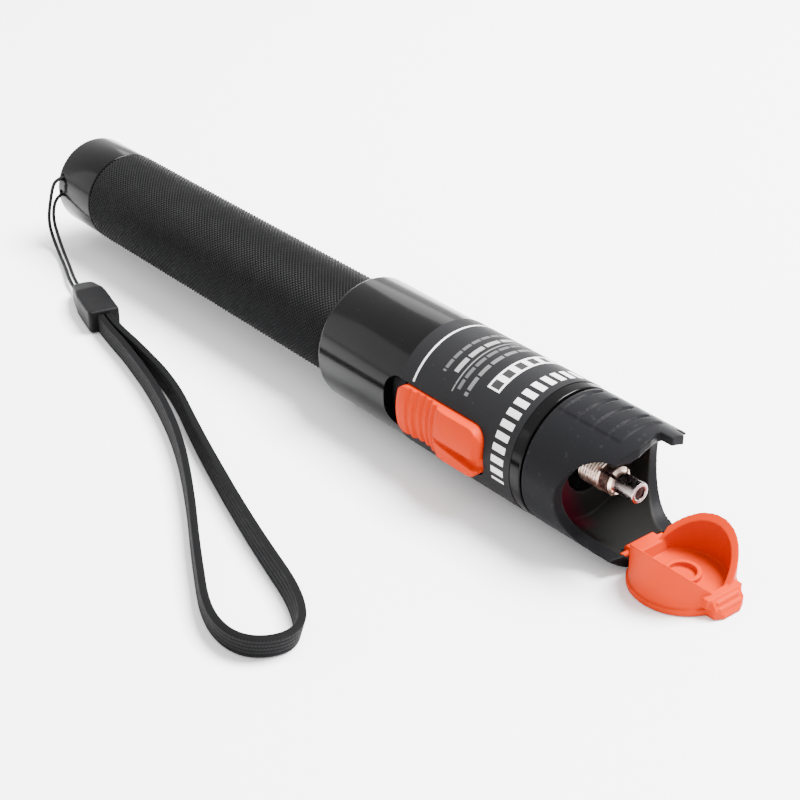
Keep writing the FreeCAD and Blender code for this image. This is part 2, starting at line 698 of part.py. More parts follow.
def make_tail_spring():
    """Wind the spring between the tail cap's inner face and the rear cell."""
    coil = doc.addObject("Part::Helix", "spring_coil")
    room = "battery_end - tail_inner_face - 2 * spring_wire - spring_gap"
    bind(coil, "Height", room)
    bind(coil, "Pitch", f"({room}) / spring_turns")
    bind(coil, "Radius", "spring_radius")
    coil.Placement = Placement(Vector(), Rotation(Vector(0, 1, 0), 90))
    bind(coil, ".Placement.Base.x", "tail_inner_face + spring_wire")
    wire = doc.addObject("Part::RegularPolygon", "spring_section")
    bind(wire, "Polygon", "spring_wire_sides")
    bind(wire, "Circumradius", "spring_wire")
    wire.Placement = Placement(Vector(), Rotation(Vector(1, 0, 0), 90))
    bind(wire, ".Placement.Base.x", "tail_inner_face + spring_wire")
    bind(wire, ".Placement.Base.z", "-spring_radius")
    doc.recompute()
    spring = doc.addObject("Part::Sweep", "tail_spring")
    spring.Label = "tail_spring"
    spring.Sections = [wire]
    spring.Spine = (coil, ["Edge1"])
    spring.Solid = True
    spring.Frenet = True
    return spring


# --- Cells and contacts --------------------------------------------------------

def make_battery(name, shift):
    """Make one AA cell with its button toward the head."""
    tip = f"contact_plane - {shift} * battery_pitch"
    shoulder = f"{tip} - battery_button"
    end = f"{shoulder} - battery_body"
    return turned_piece(name, (
        (end, "0"),
        (end, "battery_radius - edge_break"),
        (f"{end} + edge_break", "battery_radius"),
        (f"{shoulder} - edge_break", "battery_radius"),
        (shoulder, "battery_radius - edge_break"),
        (shoulder, "battery_button_radius"),
        (tip, "battery_button_radius"),
        (tip, "0"),
    ))


def make_disc(name, rear, front, radius):
    """Make a plain round disc."""
    return turned_piece(name, (
        (rear, "0"),
        (rear, radius),
        (front, radius),
        (front, "0"),
    ))


# --- Switch ---------------------------------------------------------------------

def make_switch_button():
    """Make the slide button with its foot and the fork that moves the lever."""
    body = new_body("switch_button")
    outline = rounded_box(
        body, "XZ_Plane", "button_outline",
        ("button_rear", "-button_half_width"), ("button_front", "button_half_width"),
        "button_corner", "button_root")
    pad(body, "button_block", outline, "body_radius + button_front_rise + past - button_root")
    crown = polygon(body, "XZ_Plane", "button_crown", (
        ("button_rear - past", "body_radius + button_rear_rise - button_tail"),
        ("button_rear + button_tail", "body_radius + button_rear_rise"),
        ("button_rear + 0.16 * button_length", "body_radius + button_rear_rise"),
        ("button_rear + 0.29 * button_length", "body_radius + button_dip_rise"),
        ("button_rear + 0.39 * button_length", "body_radius + 1.3 * button_dip_rise"),
        ("button_rear + 0.49 * button_length", "body_radius + 1.3 * button_rear_rise"),
        ("button_rear + 0.58 * button_length", "body_radius + button_front_rise"),
        ("button_front - button_nose", "body_radius + button_front_rise"),
        ("button_front - 0.3 * button_nose", "body_radius + 0.75 * button_front_rise"),
        ("button_front + past", "body_radius - 0.3 * button_front_rise"),
        ("button_front + past", "body_radius + button_front_rise + 2 * past"),
        ("button_rear - past", "body_radius + button_front_rise + 2 * past"),
    ))
    turned_cut(body, "button_top", crown)
    groove_start = "button_rear + 0.15 * button_length"
    groove_end = f"{groove_start} + button_groove_width"
    groove_root = "body_radius + button_dip_rise - button_groove_depth"
    groove_top = "body_radius + button_front_rise + past"
    groove = polygon(body, "XZ_Plane", "finger_groove_profile", (
        (groove_start, groove_root),
        (groove_end, groove_root),
        (groove_end, groove_top),
        (groove_start, groove_top),
    ))
    first = turned_cut(body, "finger_groove", groove)
    row_of(body, "finger_grooves", first, groove, "button_groove_pitch", GROOVE_COUNT)
    thumb = polygon(body, "XZ_Plane", "thumb_channel_outline", (
        ("button_middle", "-0.08 * button_half_width"),
        ("button_front + past", "-0.18 * button_half_width"),
        ("button_front + past", "-0.54 * button_half_width"),
        ("button_middle", "-0.24 * button_half_width"),
    ), "body_radius + button_front_rise - thumb_channel_depth")
    pocket(body, "thumb_channel", thumb, "thumb_channel_depth + past", backward=True)
    block(body, "button_foot", ("foot_rear", "-foot_half_width"),
          ("foot_front", "foot_half_width"), "foot_root", "button_root + overlap")
    block(body, "button_fork", ("button_middle - fork_half_length", "-fork_half_width"),
          ("button_middle + fork_half_length", "fork_half_width"), "fork_root", "foot_root + overlap")
    gap = "(lever_half_width + lever_clearance)"
    fork_gap = polygon(body, "XZ_Plane", "fork_gap_outline", (
        (f"button_middle - {gap}", f"-{gap}"),
        (f"button_middle + {gap}", f"-{gap}"),
        (f"button_middle + {gap}", gap),
        (f"button_middle - {gap}", gap),
    ), "fork_root - past")
    pocket(body, "fork_gap", fork_gap, "foot_root - fork_root + past", backward=True)
    return body


def make_switch_lever():
    body = new_body("switch_lever")
    block(body, "lever_block", ("button_middle - lever_half_width", "-lever_half_width"),
          ("button_middle + lever_half_width", "lever_half_width"),
          "switch_can_top - lever_depth", "foot_root - lever_rise_gap")
    return body


def make_switch_bed():
    """Make the fixed guide under the slot, with a trough for the button's foot."""
    body = new_body("switch_bed")
    outline = rounded_box(
        body, "XZ_Plane", "bed_outline",
        ("slot_rear - bed_wall", "-(slot_half_width + bed_wall)"),
        ("slot_front + bed_front_wall", "slot_half_width + bed_wall"),
        "slot_corner", "bed_root")
    pad(body, "bed_block", outline, "bed_top - bed_root")
    ring = polygon(body, "XZ_Plane", "bed_trim_profile", (
        ("slot_rear - bed_wall - past", "carrier_radius"),
        ("slot_front + bed_wall + past", "carrier_radius"),
        ("slot_front + bed_wall + past", "body_radius"),
        ("slot_rear - bed_wall - past", "body_radius"),
    ))
    turned_cut(body, "bed_trim", ring)
    trough = polygon(body, "XZ_Plane", "trough_outline", (
        ("foot_rear - switch_travel - slot_clearance", "-(foot_half_width + slot_clearance)"),
        ("foot_front + slot_clearance", "-(foot_half_width + slot_clearance)"),
        ("foot_front + slot_clearance", "foot_half_width + slot_clearance"),
        ("foot_rear - switch_travel - slot_clearance", "foot_half_width + slot_clearance"),
    ), "trough_root")
    pocket(body, "trough", trough, "bed_top - trough_root + past", backward=True)
    rear = "button_middle - switch_travel - fork_half_length - slot_clearance"
    front = "button_middle + fork_half_length + slot_clearance"
    opening = polygon(body, "XZ_Plane", "fork_opening_outline", (
        (rear, "-(fork_half_width + slot_clearance)"),
        (front, "-(fork_half_width + slot_clearance)"),
        (front, "fork_half_width + slot_clearance"),
        (rear, "fork_half_width + slot_clearance"),
    ), "bed_root - past")
    pocket(body, "fork_opening", opening, "bed_floor + 2 * past", backward=True)
    return body


def make_slide_switch():
    """Make the electrical switch with the slot that its lever moves in."""
    body = new_body("slide_switch")
    block(body, "switch_can",
          ("switch_can_rear", "-switch_can_half_width"),
          ("switch_can_front", "switch_can_half_width"),
          "board_height", "switch_can_top")
    reach = "(switch_travel / 2 + lever_half_width + slot_clearance)"
    side = "(lever_half_width + slot_clearance)"
    slot = polygon(body, "XZ_Plane", "lever_slot_outline", (
        (f"switch_middle - {reach}", f"-{side}"),
        (f"switch_middle + {reach}", f"-{side}"),
        (f"switch_middle + {reach}", side),
        (f"switch_middle - {reach}", side),
    ), "switch_can_top - lever_depth - slot_clearance")
    pocket(body, "lever_slot", slot, "lever_depth + slot_clearance + past", backward=True)
    return body


# --- Board and its carrier -------------------------------------------------------

def make_circuit_board():
    body = new_body("circuit_board")
    block(body, "board_plate", ("board_rear", "-board_half_width"),
          ("board_front", "board_half_width"), "board_face", "board_height")
    return body


def make_board_part(name, rear, front, half_width, height):
    """Make a component that sits on the board."""
    body = new_body(name)
    block(body, f"{name}_case", (rear, f"-({half_width})"), (front, half_width),
          "board_height", f"board_height + {height}")
    return body


def make_board_carrier():
    """Make the moulded tub that holds the board and the laser holder."""
    body = turned_piece("board_carrier", (
        ("carrier_rear", "0"),
        ("carrier_rear", "carrier_radius"),
        ("carrier_front", "carrier_radius"),
        ("carrier_front", "0"),
    ))
    upper = polygon(body, "XY_Plane", "tub_opening_outline", (
        ("carrier_rear - past", "-board_face"),
        ("collar_rear", "-board_face"),
        ("collar_rear", "-(bed_root - slot_clearance)"),
        ("carrier_front + past", "-(bed_root - slot_clearance)"),
        ("carrier_front + past", "-(body_radius + past)"),
        ("carrier_rear - past", "-(body_radius + past)"),
    ))
    pocket(body, "tub_opening", upper, both_ways=True)
    hollow = polygon(body, "XZ_Plane", "tub_hollow_outline", (
        ("carrier_rear + carrier_wall", "-(board_half_width - board_seat)"),
        ("holder_rear - past", "-(board_half_width - board_seat)"),
        ("holder_rear - past", "board_half_width - board_seat"),
        ("carrier_rear + carrier_wall", "board_half_width - board_seat"),
    ), "board_face + past")
    pocket(body, "tub_hollow", hollow, "carrier_radius - carrier_wall")
    bore = circle(body, "YZ_Plane", "holder_bore_outline", "0", "0", "holder_bore",
                  "holder_rear - board_gap")
    pocket(body, "holder_bore_cut", bore, "holder_rear_back + board_gap", backward=True)
    return body


# --- Laser and ferrule port -------------------------------------------------------

def make_laser_holder():
    return turned_piece("laser_holder", (
        ("holder_rear", "collet_radius + sleeve_fit"),
        ("holder_rear", "holder_radius - edge_break"),
        ("holder_rear + edge_break", "holder_radius"),
        ("holder_front - edge_break", "holder_radius"),
        ("holder_front", "holder_radius - edge_break"),
        ("holder_front", "collet_radius + sleeve_fit"),
        ("collet_seat", "collet_radius + sleeve_fit"),
        ("collet_seat", "light_bore"),
        ("diode_seat", "light_bore"),
        ("diode_seat", "collet_radius + sleeve_fit"),
    ))


def make_laser_diode():
    """Make the canned diode with its flange and three pins."""
    body = turned_piece("laser_diode", (
        ("diode_seat - diode_flange", "0"),
        ("diode_seat - diode_flange", "collet_radius"),
        ("diode_seat", "collet_radius"),
        ("diode_seat", "light_bore - diode_clearance"),
        ("diode_seat + diode_can", "light_bore - diode_clearance"),
        ("diode_seat + diode_can", "0"),
    ))
    pin = circle(body, "YZ_Plane", "pin_outline", "pin_circle", "0", "pin_radius", "holder_rear")
    first = pad(body, "pin", pin, "diode_seat - diode_flange + overlap - holder_rear")
    ring_of(body, "pins", first, PIN_COUNT)
    return body


def make_collimator_lens():
    """Make the plano-convex lens in the holder's bore."""
    radius = "(light_bore - sleeve_fit)"
    rear = "collet_seat - lens_back"
    edge = f"{rear} + lens_edge"
    return turned_piece("collimator_lens", (
        (rear, "0"),
        (rear, radius),
        (edge, radius),
        (f"{edge} + 0.6 * lens_bulge", f"0.7 * {radius}"),
        (f"{edge} + 0.9 * lens_bulge", f"0.35 * {radius}"),
        (f"{edge} + lens_bulge", "0"),
    ))


def make_threaded_collet():
    """Make the slotted brass collet that grips the sleeve."""
    body = turned_piece("threaded_collet", (
        ("collet_seat", "collet_bore"),
        ("collet_seat", "collet_radius"),
        ("collet_shoulder", "collet_radius"),
        ("collet_shoulder", "petal_radius"),
        ("petal_front - edge_break", "petal_radius"),
        ("petal_front", "petal_radius - edge_break / 2"),
        ("petal_front", "collet_bore"),
    ))
    slot = polygon(body, "XZ_Plane", "petal_slot_outline", (
        ("collet_shoulder - petal_root", "-petal_slot / 2"),
        ("petal_front + past", "-petal_slot / 2"),
        ("petal_front + past", "petal_slot / 2"),
        ("collet_shoulder - petal_root", "petal_slot / 2"),
    ))
    first = pocket(body, "petal_slot", slot, both_ways=True)
    ring = ring_of(body, "petal_slots", first, SLOT_COUNT)
    ring.Angle = 180
    body.Placement = Placement(Vector(), Rotation(Vector(1, 0, 0), 90 / SLOT_COUNT))
    return body


def make_ferrule_sleeve():
    return turned_piece("ferrule_sleeve", (
        ("sleeve_rear", "sleeve_bore"),
        ("sleeve_rear", "sleeve_radius"),
        ("-edge_break / 2", "sleeve_radius"),
        ("0", "sleeve_radius - edge_break / 2"),
        ("0", "ferrule_radius"),
        ("-sleeve_lip", "ferrule_radius"),
        ("-sleeve_lip", "sleeve_bore"),
    ))


def make_split_sleeve():
    """Make the ceramic sleeve that lines up the ferrule, with its slit on top."""
    body = turned_piece("split_sleeve", (
        ("sleeve_rear + split_inset", "ferrule_radius"),
        ("sleeve_rear + split_inset", "ferrule_radius + split_sleeve_wall"),
        ("-(sleeve_lip + split_lip_gap)", "ferrule_radius + split_sleeve_wall"),
        ("-(sleeve_lip + split_lip_gap)", "ferrule_radius"),
    ))
    slit = polygon(body, "XY_Plane", "slit_outline", (
        ("sleeve_rear", "-split_gap / 2"),
        ("past", "-split_gap / 2"),
        ("past", "split_gap / 2"),
        ("sleeve_rear", "split_gap / 2"),
    ))
    pocket(body, "slit", slit, "sleeve_radius", backward=True)
    return body


# --- Head and dust cap -----------------------------------------------------------------

def make_head_shroud():
    """Make the moulded head: windows at the sides, a claw above and one below."""
    body = turned_piece("head_shroud", (
        ("head_spigot_rear", "head_spigot_radius - head_spigot_wall"),
        ("head_spigot_rear", "head_spigot_radius"),
        ("head_rear", "head_spigot_radius"),
        ("head_rear", "body_radius - edge_break"),
        ("head_rear + edge_break", "body_radius"),
        ("hook_reach", "body_radius"),
        ("hook_reach", "hook_root"),
        ("claw_reach - overlap", "hook_root"),
        ("claw_corner_reach", "head_bore"),
        ("head_floor", "head_bore"),
        ("head_floor", "holder_bore"),
        ("head_hub_rear", "holder_bore"),
        ("head_hub_rear", "head_spigot_radius - head_spigot_wall"),
    ))
    pad_rear = "-(first_grip_line_back + pad_margin)"
    pad_front = f"{pad_rear} + {LINE_COUNT} * grip_line_pitch"
    raised = polygon(body, "XZ_Plane", "pad_profile", (
        (f"{pad_rear} - pad_slope", "body_radius - past"),
        (f"{pad_rear} - pad_slope", "body_radius"),
        (pad_rear, "body_radius + pad_rise"),
        (pad_front, "body_radius + pad_rise"),
        (f"{pad_front} + pad_slope", "body_radius"),
        (f"{pad_front} + pad_slope", "body_radius - past"),
    ))
    turn(body, "grip_pad", raised, "0.88 * grip_line_angle")
    line_root = "body_radius + pad_rise - grip_line_depth"
    line = polygon(body, "XZ_Plane", "grip_line_profile", (
        ("-first_grip_line_back", line_root),
        ("grip_line_width - first_grip_line_back", line_root),
        ("grip_line_width - first_grip_line_back", "body_radius + past"),
        ("-first_grip_line_back", "body_radius + past"),
    ))
    first = turned_cut(body, "grip_line", line, "grip_line_angle")
    row_of(body, "grip_lines", first, line, "grip_line_pitch", LINE_COUNT)
    outline = window_outline(body, "XZ_Plane", "window_outline", "window_centre",
                             "window_radius", "hook_reach + past")
    pocket(body, "side_windows", outline, both_ways=True)
    side = "(body_radius + past)"
    corner = "0.6 * body_radius"
    flat = "0.35 * body_radius"
    lower = polygon(body, "XY_Plane", "lower_mouth_outline", (
        ("claw_corner_reach", f"-{side}"),
        ("claw_corner_reach", f"-{corner}"),
        ("claw_reach", f"-{flat}"),
        ("claw_reach", flat),
        ("claw_corner_reach", corner),
        ("claw_corner_reach", side),
        ("hook_reach + past", side),
        ("hook_reach + past", f"-{side}"),
    ))
    pocket(body, "lower_mouth", lower, side)
    upper = polygon(body, "XY_Plane", "upper_mouth_outline", (
        ("claw_corner_reach", f"-{side}"),
        ("claw_corner_reach", f"-{corner}"),
        ("claw_reach + notch_lean", f"-{flat}"),
        ("claw_reach + 0.7 * notch_lean", "hook_near_side - notch_slope"),
        ("claw_reach - notch_lean", "hook_near_side"),
        ("hook_reach + past", "hook_near_side"),
        ("hook_reach + past", f"-{side}"),
    ))
    pocket(body, "upper_mouth_near", upper, side, backward=True)
    beyond = polygon(body, "XY_Plane", "upper_mouth_far_outline", (
        ("hook_reach + past", "hook_near_side + notch_lean"),
        ("hook_reach", "hook_far_side - 2 * edge_break"),
        ("hook_reach - 2 * edge_break", "hook_far_side"),
        ("claw_reach - edge_break", "hook_far_side + edge_break"),
        ("claw_corner_reach", corner),
        ("claw_corner_reach", side),
        ("hook_reach + past", side),
    ))
    pocket(body, "upper_mouth_far", beyond, side, backward=True)
    socket = circle(body, "XZ_Plane", "hinge_socket_outline", "hinge_reach", "hinge_height",
                    "socket_radius")
    pocket(body, "hinge_socket", socket, "2 * (hinge_bar_half_width + hinge_web_gap)",
           both_ways=True)
    holes = circle(body, "XZ_Plane", "hinge_hole_outline", "hinge_reach", "hinge_height",
                   "hinge_pin_radius + hinge_pin_clearance")
    pocket(body, "hinge_holes", holes,
           "2 * (hinge_bar_half_width + hinge_pin_reach + hinge_web_gap)", both_ways=True)
    return body


def make_dust_cap():
    """Make the cap as it lies open: disc, rim, two domed wings, hinge and latch."""
    body = new_body("dust_cap")
    base = "-body_radius"
    disc = circle(body, "XY_Plane", "rim_outline", "cap_centre", "0",
                  "cap_radius + cap_rim_reach", base)
    pad(body, "rim", disc, "cap_rim_rise")
    wall = circle(body, "XY_Plane", "wall_outline", "cap_centre", "0", "cap_radius", base)
    pad(body, "wall", wall, "cap_floor + wing_slope * cap_radius")
    inside = circle(body, "XY_Plane", "inside_outline", "cap_centre", "0",
                    "cap_radius - cap_wall", "cap_face")
    pocket(body, "inside", inside, "wing_slope * cap_radius + past", backward=True)
    side = "(cap_radius + cap_rim_reach + past)"
    domes = polygon(body, "YZ_Plane", "dome_outline", (
        ("0", "cap_face"),
        (side, f"cap_face + wing_slope * {side}"),
        (side, "0"),
        (f"-{side}", "0"),
        (f"-{side}", f"cap_face + wing_slope * {side}"),
    ))
    pocket(body, "domes", domes, both_ways=True)
    rear = polygon(body, "XZ_Plane", "rear_cut_outline", (
        ("cap_cut - 3 * past", "-(body_radius + past)"),
        ("cap_cut", "-(body_radius + past)"),
        ("cap_cut", "0"),
        ("cap_cut - 3 * past", "0"),
    ))
    pocket(body, "rear_cut", rear, both_ways=True)
    boss = circle(body, "XY_Plane", "boss_outline", "cap_centre", "0", "boss_radius",
                  "cap_face - overlap")
    pad(body, "boss", boss, "boss_rise + overlap")
    well = circle(body, "XY_Plane", "boss_well_outline", "cap_centre", "0",
                  "boss_radius - boss_wall", "cap_face")
    pocket(body, "boss_well", well, "boss_rise + past", backward=True)
    hinge = polygon(body, "XZ_Plane", "hinge_bar_outline", (
        ("hinge_reach - hinge_bar_rear", "hinge_height - hinge_bar_below"),
        ("cap_cut", "hinge_height - hinge_bar_below"),
        ("cap_cut", base),
        ("cap_cut + hinge_web", base),
        ("cap_cut + hinge_web", "cap_face + edge_break"),
        ("cap_cut + 0.6 * hinge_web", "hinge_height + hinge_bar_above"),
        ("hinge_reach - hinge_bar_rear + edge_break", "hinge_height + hinge_bar_above"),
        ("hinge_reach - hinge_bar_rear", "hinge_height + hinge_bar_above - edge_break"),
    ))
    pad(body, "hinge_bar", hinge, "2 * hinge_bar_half_width", both_ways=True)
    pin = circle(body, "XZ_Plane", "hinge_pin_outline", "hinge_reach", "hinge_height",
                 "hinge_pin_radius")
    pad(body, "hinge_pins", pin, "2 * (hinge_bar_half_width + hinge_pin_reach)",
        both_ways=True)
    tab = polygon(body, "XY_Plane", "tab_outline", (
        ("latch_bar_rear", "-tab_half_width"),
        ("tab_tip - tab_round", "-tab_half_width"),
        ("tab_tip", "-0.55 * tab_half_width"),
        ("tab_tip", "0.55 * tab_half_width"),
        ("tab_tip - tab_round", "tab_half_width"),
        ("latch_bar_rear", "tab_half_width"),
    ), base)
    pad(body, "finger_tab", tab, "cap_floor + latch_bar_rise")
    slope = polygon(body, "XZ_Plane", "tab_slope_outline", (
        ("latch_bar_front", "latch_bar_top"),
        ("tab_tip", "tab_lip - body_radius"),
        ("tab_tip + past", "tab_lip - body_radius"),
        ("tab_tip + past", "latch_bar_top + past"),
        ("latch_bar_front", "latch_bar_top + past"),
    ))
    pocket(body, "tab_slope", slope, both_ways=True)
    for name, share in (("inner_rib", 0.3), ("outer_rib", 0.65)):
        along = f"latch_bar_front + {share} * (tab_tip - latch_bar_front)"
        level = f"latch_bar_top + {share} * (tab_lip - body_radius - latch_bar_top)"
        rib = circle(body, "XZ_Plane", f"{name}_outline", along, level, "tab_rib_radius")
        pad(body, name, rib, "2 * (tab_half_width - tab_rib_inset)", both_ways=True)
    ears = polygon(body, "XZ_Plane", "latch_bar_outline", (
        ("latch_bar_rear", "cap_face - overlap"),
        ("latch_bar_front", "cap_face - overlap"),
        ("latch_bar_front", "latch_bar_top"),
        ("latch_bar_rear + edge_break", "latch_bar_top"),
        ("latch_bar_rear", "latch_bar_top - edge_break"),
    ))
    pad(body, "latch_bar", ears, "2 * latch_bar_half_width", both_ways=True)
    return body


# --- Lanyard -----------------------------------------------------------------------------

def make_lanyard_clamp():
    """Make the soft clip, with its nose toward the string."""
    body = new_body("lanyard_clamp")
    nose = "-clamp_length"
    cheek = f"{nose} + clamp_shoulder / 3"
    shoulder = f"{nose} + clamp_shoulder"
    waist = "(clamp_half_width - clamp_taper)"
    outline = polygon(body, "XY_Plane", "clamp_outline", (
        ("0", f"-{waist}"),
        ("0", waist),
        ("-0.5 * clamp_length", "clamp_half_width"),
        (shoulder, waist),
        (cheek, "0.75 * clamp_half_width"),
        (nose, "clamp_nose_half_width"),
        (nose, "-clamp_nose_half_width"),
        (cheek, "-0.75 * clamp_half_width"),
        (shoulder, f"-{waist}"),
        ("-0.5 * clamp_length", "-clamp_half_width"),
    ))
    pad(body, "clamp_block", outline, "clamp_height")
    slope = polygon(body, "XZ_Plane", "clamp_slope_outline", (
        (nose, "clamp_nose_height"),
        (f"{nose} + clamp_slope / 3", "(clamp_nose_height + clamp_height) / 2"),
        (f"{nose} + clamp_slope", "clamp_height"),
        (f"{nose} + clamp_slope", "clamp_height + past"),
        (f"{nose} - past", "clamp_height + past"),
        (f"{nose} - past", "clamp_nose_height"),
    ))
    pocket(body, "clamp_nose_slope", slope, both_ways=True)
    body.Placement = Placement(Vector(), Rotation(Vector(0, 0, 1), number("clamp_turn")))
    bind(body, ".Placement.Base.x", "clamp_end_x")
    bind(body, ".Placement.Base.y", "clamp_end_y")
    bind(body, ".Placement.Base.z", "-body_radius")
    return body


def corner_radius(before, corner, after):
    """Return the largest good bend at a corner of a route, and its setback."""
    inward = corner - before
    outward = after - corner
    turn_angle = inward.getAngle(outward)
    setback = 0.45 * min(inward.Length, outward.Length)
    return setback / math.tan(turn_angle / 2), setback


def bent_path(name, points):
    """Join a route's points by straight runs with tangent arcs, and print the bends."""
    edges = []
    start = points[0]
    radii = []
    for before, corner, after in zip(points, points[1:], points[2:]):
        radius, setback = corner_radius(before, corner, after)
        radii.append(radius)
        toward = (corner - before).normalize()
        away = (after - corner).normalize()
        entry = corner - toward * setback
        leave = corner + away * setback
        middle_way = (away - toward).normalize()
        centre = corner + middle_way * math.hypot(radius, setback)
        middle = centre - middle_way * radius
        edges.append(Part.LineSegment(start, entry).toShape())
        edges.append(Part.Arc(entry, middle, leave).toShape())
        start = leave
    edges.append(Part.LineSegment(start, points[-1]).toShape())
    path = Part.Wire(edges)
    print(f"{name}: length {path.Length:.1f}, bends", [round(value, 1) for value in radii])
    return path


def clamp_point(along, across, height):
    """Return a point given in the clamp's own frame."""
    turn_angle = math.radians(number("clamp_turn"))
    east, north = math.cos(turn_angle), math.sin(turn_angle)
    return Vector(
        number("clamp_end_x") + along * east - across * north,
        number("clamp_end_y") + along * north + across * east,
        height)


def make_strand(name, free_points, side):
    """Make one strand of the string, from the tail rim to the clamp's nose."""
    height = number("clamp_nose_height / 2 - body_radius")
    nose = -number("clamp_length")
    tail = Vector(number("tail_rear"), 0, 0)
    points = [tail + Vector(*point) for point in free_points]
    points.append(clamp_point(nose - number("string_lead"), side, height))
    points.append(clamp_point(nose, side, height))
    path = bent_path(name, points)
    start, direction = points[0], points[1] - points[0]
    section = Part.Wire([Part.Circle(start, direction, number("string_radius")).toShape()])
    strand = doc.addObject("Part::Feature", name)
    strand.Label = name
    strand.Shape = path.makePipeShell([section], True, False)
    strand.Placement = Placement()
    return strand


def make_wrist_strap(free_points):
    """Make the woven loop as a band on edge along its route."""
    spread = number("strap_spread")
    lead = number("strap_lead")
    height = number("strap_middle")
    tail = Vector(number("tail_rear"), 0, height)
    points = [clamp_point(0, -spread, height), clamp_point(lead, -spread, height)]
    points += [tail + Vector(x, y, 0) for x, y in free_points]
    points += [clamp_point(lead, spread, height), clamp_point(0, spread, height)]
    path = bent_path("wrist_strap", points)
    half_thick = number("strap_thickness / 2")
    half_high = number("strap_height / 2")
    start = points[0]
    across = (points[1] - start).normalize().cross(Vector(0, 0, 1)) * half_thick
    up = Vector(0, 0, half_high)
    corners = (start + across + up, start - across + up,
               start - across - up, start + across - up)
    section = Part.makePolygon(list(corners) + [corners[0]])
    strap = doc.addObject("Part::Feature", "wrist_strap")
    strap.Label = "wrist_strap"
    strap.Shape = path.makePipeShell([section], True, False, 1)
    strap.Placement = Placement()
    return strap


# Routes of the lanyard as it lies beside the pen, measured from the tail's rear end.
OUTER_STRAND = (
    (2.0, -9.4, 3.8), (1.8, -11.6, 3.4), (0.7, -12.1, 1.2), (0.2, -12.6, -1.8),
    (0.1, -13.3, -4.8), (0.7, -13.9, -7.9), (3.6, -14.6, -10.6), (9.1, -16.3, -12.0),
    (16.4, -19.0, -11.9),
)
INNER_STRAND = (
    (2.0, -9.4, 0.0), (1.9, -11.7, -0.7), (1.9, -13.0, -3.3), (2.6, -13.6, -6.3),
    (4.5, -13.9, -9.2), (9.4, -15.4, -11.4), (16.6, -18.0, -11.7),
)
STRAP_ROUTE = (
    (63.9, -31.5), (81.9, -36.2), (100.9, -43.2), (118.4, -52.2), (134.9, -61.9),
    (150.9, -70.6), (161.8, -70.6), (165.6, -62.4), (157.4, -56.6), (139.9, -51.9),
    (120.4, -45.9), (101.4, -39.5), (82.4, -32.2), (64.2, -29.0),
)

PIECES = [
    make_front_body(),
    make_label_wrap(),
    make_grip_tube(),
    seal_ring("front_seal_ring", "body_rear", "spigot_radius"),
    make_tail_cap(),
    seal_ring("tail_seal_ring", "grip_rear", "tail_spigot_radius"),
    make_tail_spring(),
    make_battery("battery_front", 0),
    make_battery("battery_rear", 1),
    make_disc("contact_plate", "contact_plane", "insulator_rear", "0.8 * battery_bore"),
    make_disc("contact_insulator", "insulator_rear", "carrier_rear", "battery_bore - disc_play"),
    make_board_carrier(),
    make_circuit_board(),
    make_board_part("driver_chip", "chip_rear", "chip_rear + chip_length",
                    "chip_half_width", "chip_height"),
    make_board_part("power_inductor", "inductor_front - inductor_length", "inductor_front",
                    "inductor_half_width", "inductor_height"),
    make_slide_switch(),
    make_switch_lever(),
    make_switch_bed(),
    make_switch_button(),
    make_laser_holder(),
    make_laser_diode(),
    make_collimator_lens(),
    make_threaded_collet(),
    make_ferrule_sleeve(),
    make_split_sleeve(),
    make_head_shroud(),
    make_dust_cap(),
    make_strand("string_strand_outer", OUTER_STRAND, -number("string_spread")),
    make_strand("string_strand_inner", INNER_STRAND, number("string_spread")),
    make_lanyard_clamp(),
    make_wrist_strap(STRAP_ROUTE),
]

doc.recompute()
for item in doc.Objects:
    if "Invalid" in item.State or "Error" in item.State:
        raise RuntimeError(f"{item.Label} failed: {item.State}")
for piece in PIECES:
    shape = piece.Shape
    if shape.isNull() or not shape.isValid() or not shape.Solids:
        raise RuntimeError(f"{piece.Label} has no valid solid")

os.makedirs("parts", exist_ok=True)
for piece in PIECES:
    piece.Shape.exportStep(f"parts/{piece.Label}.step")
    print(piece.Label, len(piece.Shape.Solids), round(piece.Shape.Volume, 2))
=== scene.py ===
"""A pen-type visual fault locator on a pale table.

The pen lies along X with its head toward +X, in metres, in the frame of the
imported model.  Each sub-assembly is a class that builds its meshes and dresses
them, and each finish is a class that makes one material.
"""

import logging
import math
from dataclasses import dataclass
from enum import Enum
from typing import Callable, Iterable, Mapping, Sequence

import bmesh
import bpy
from mathutils import Matrix, Vector


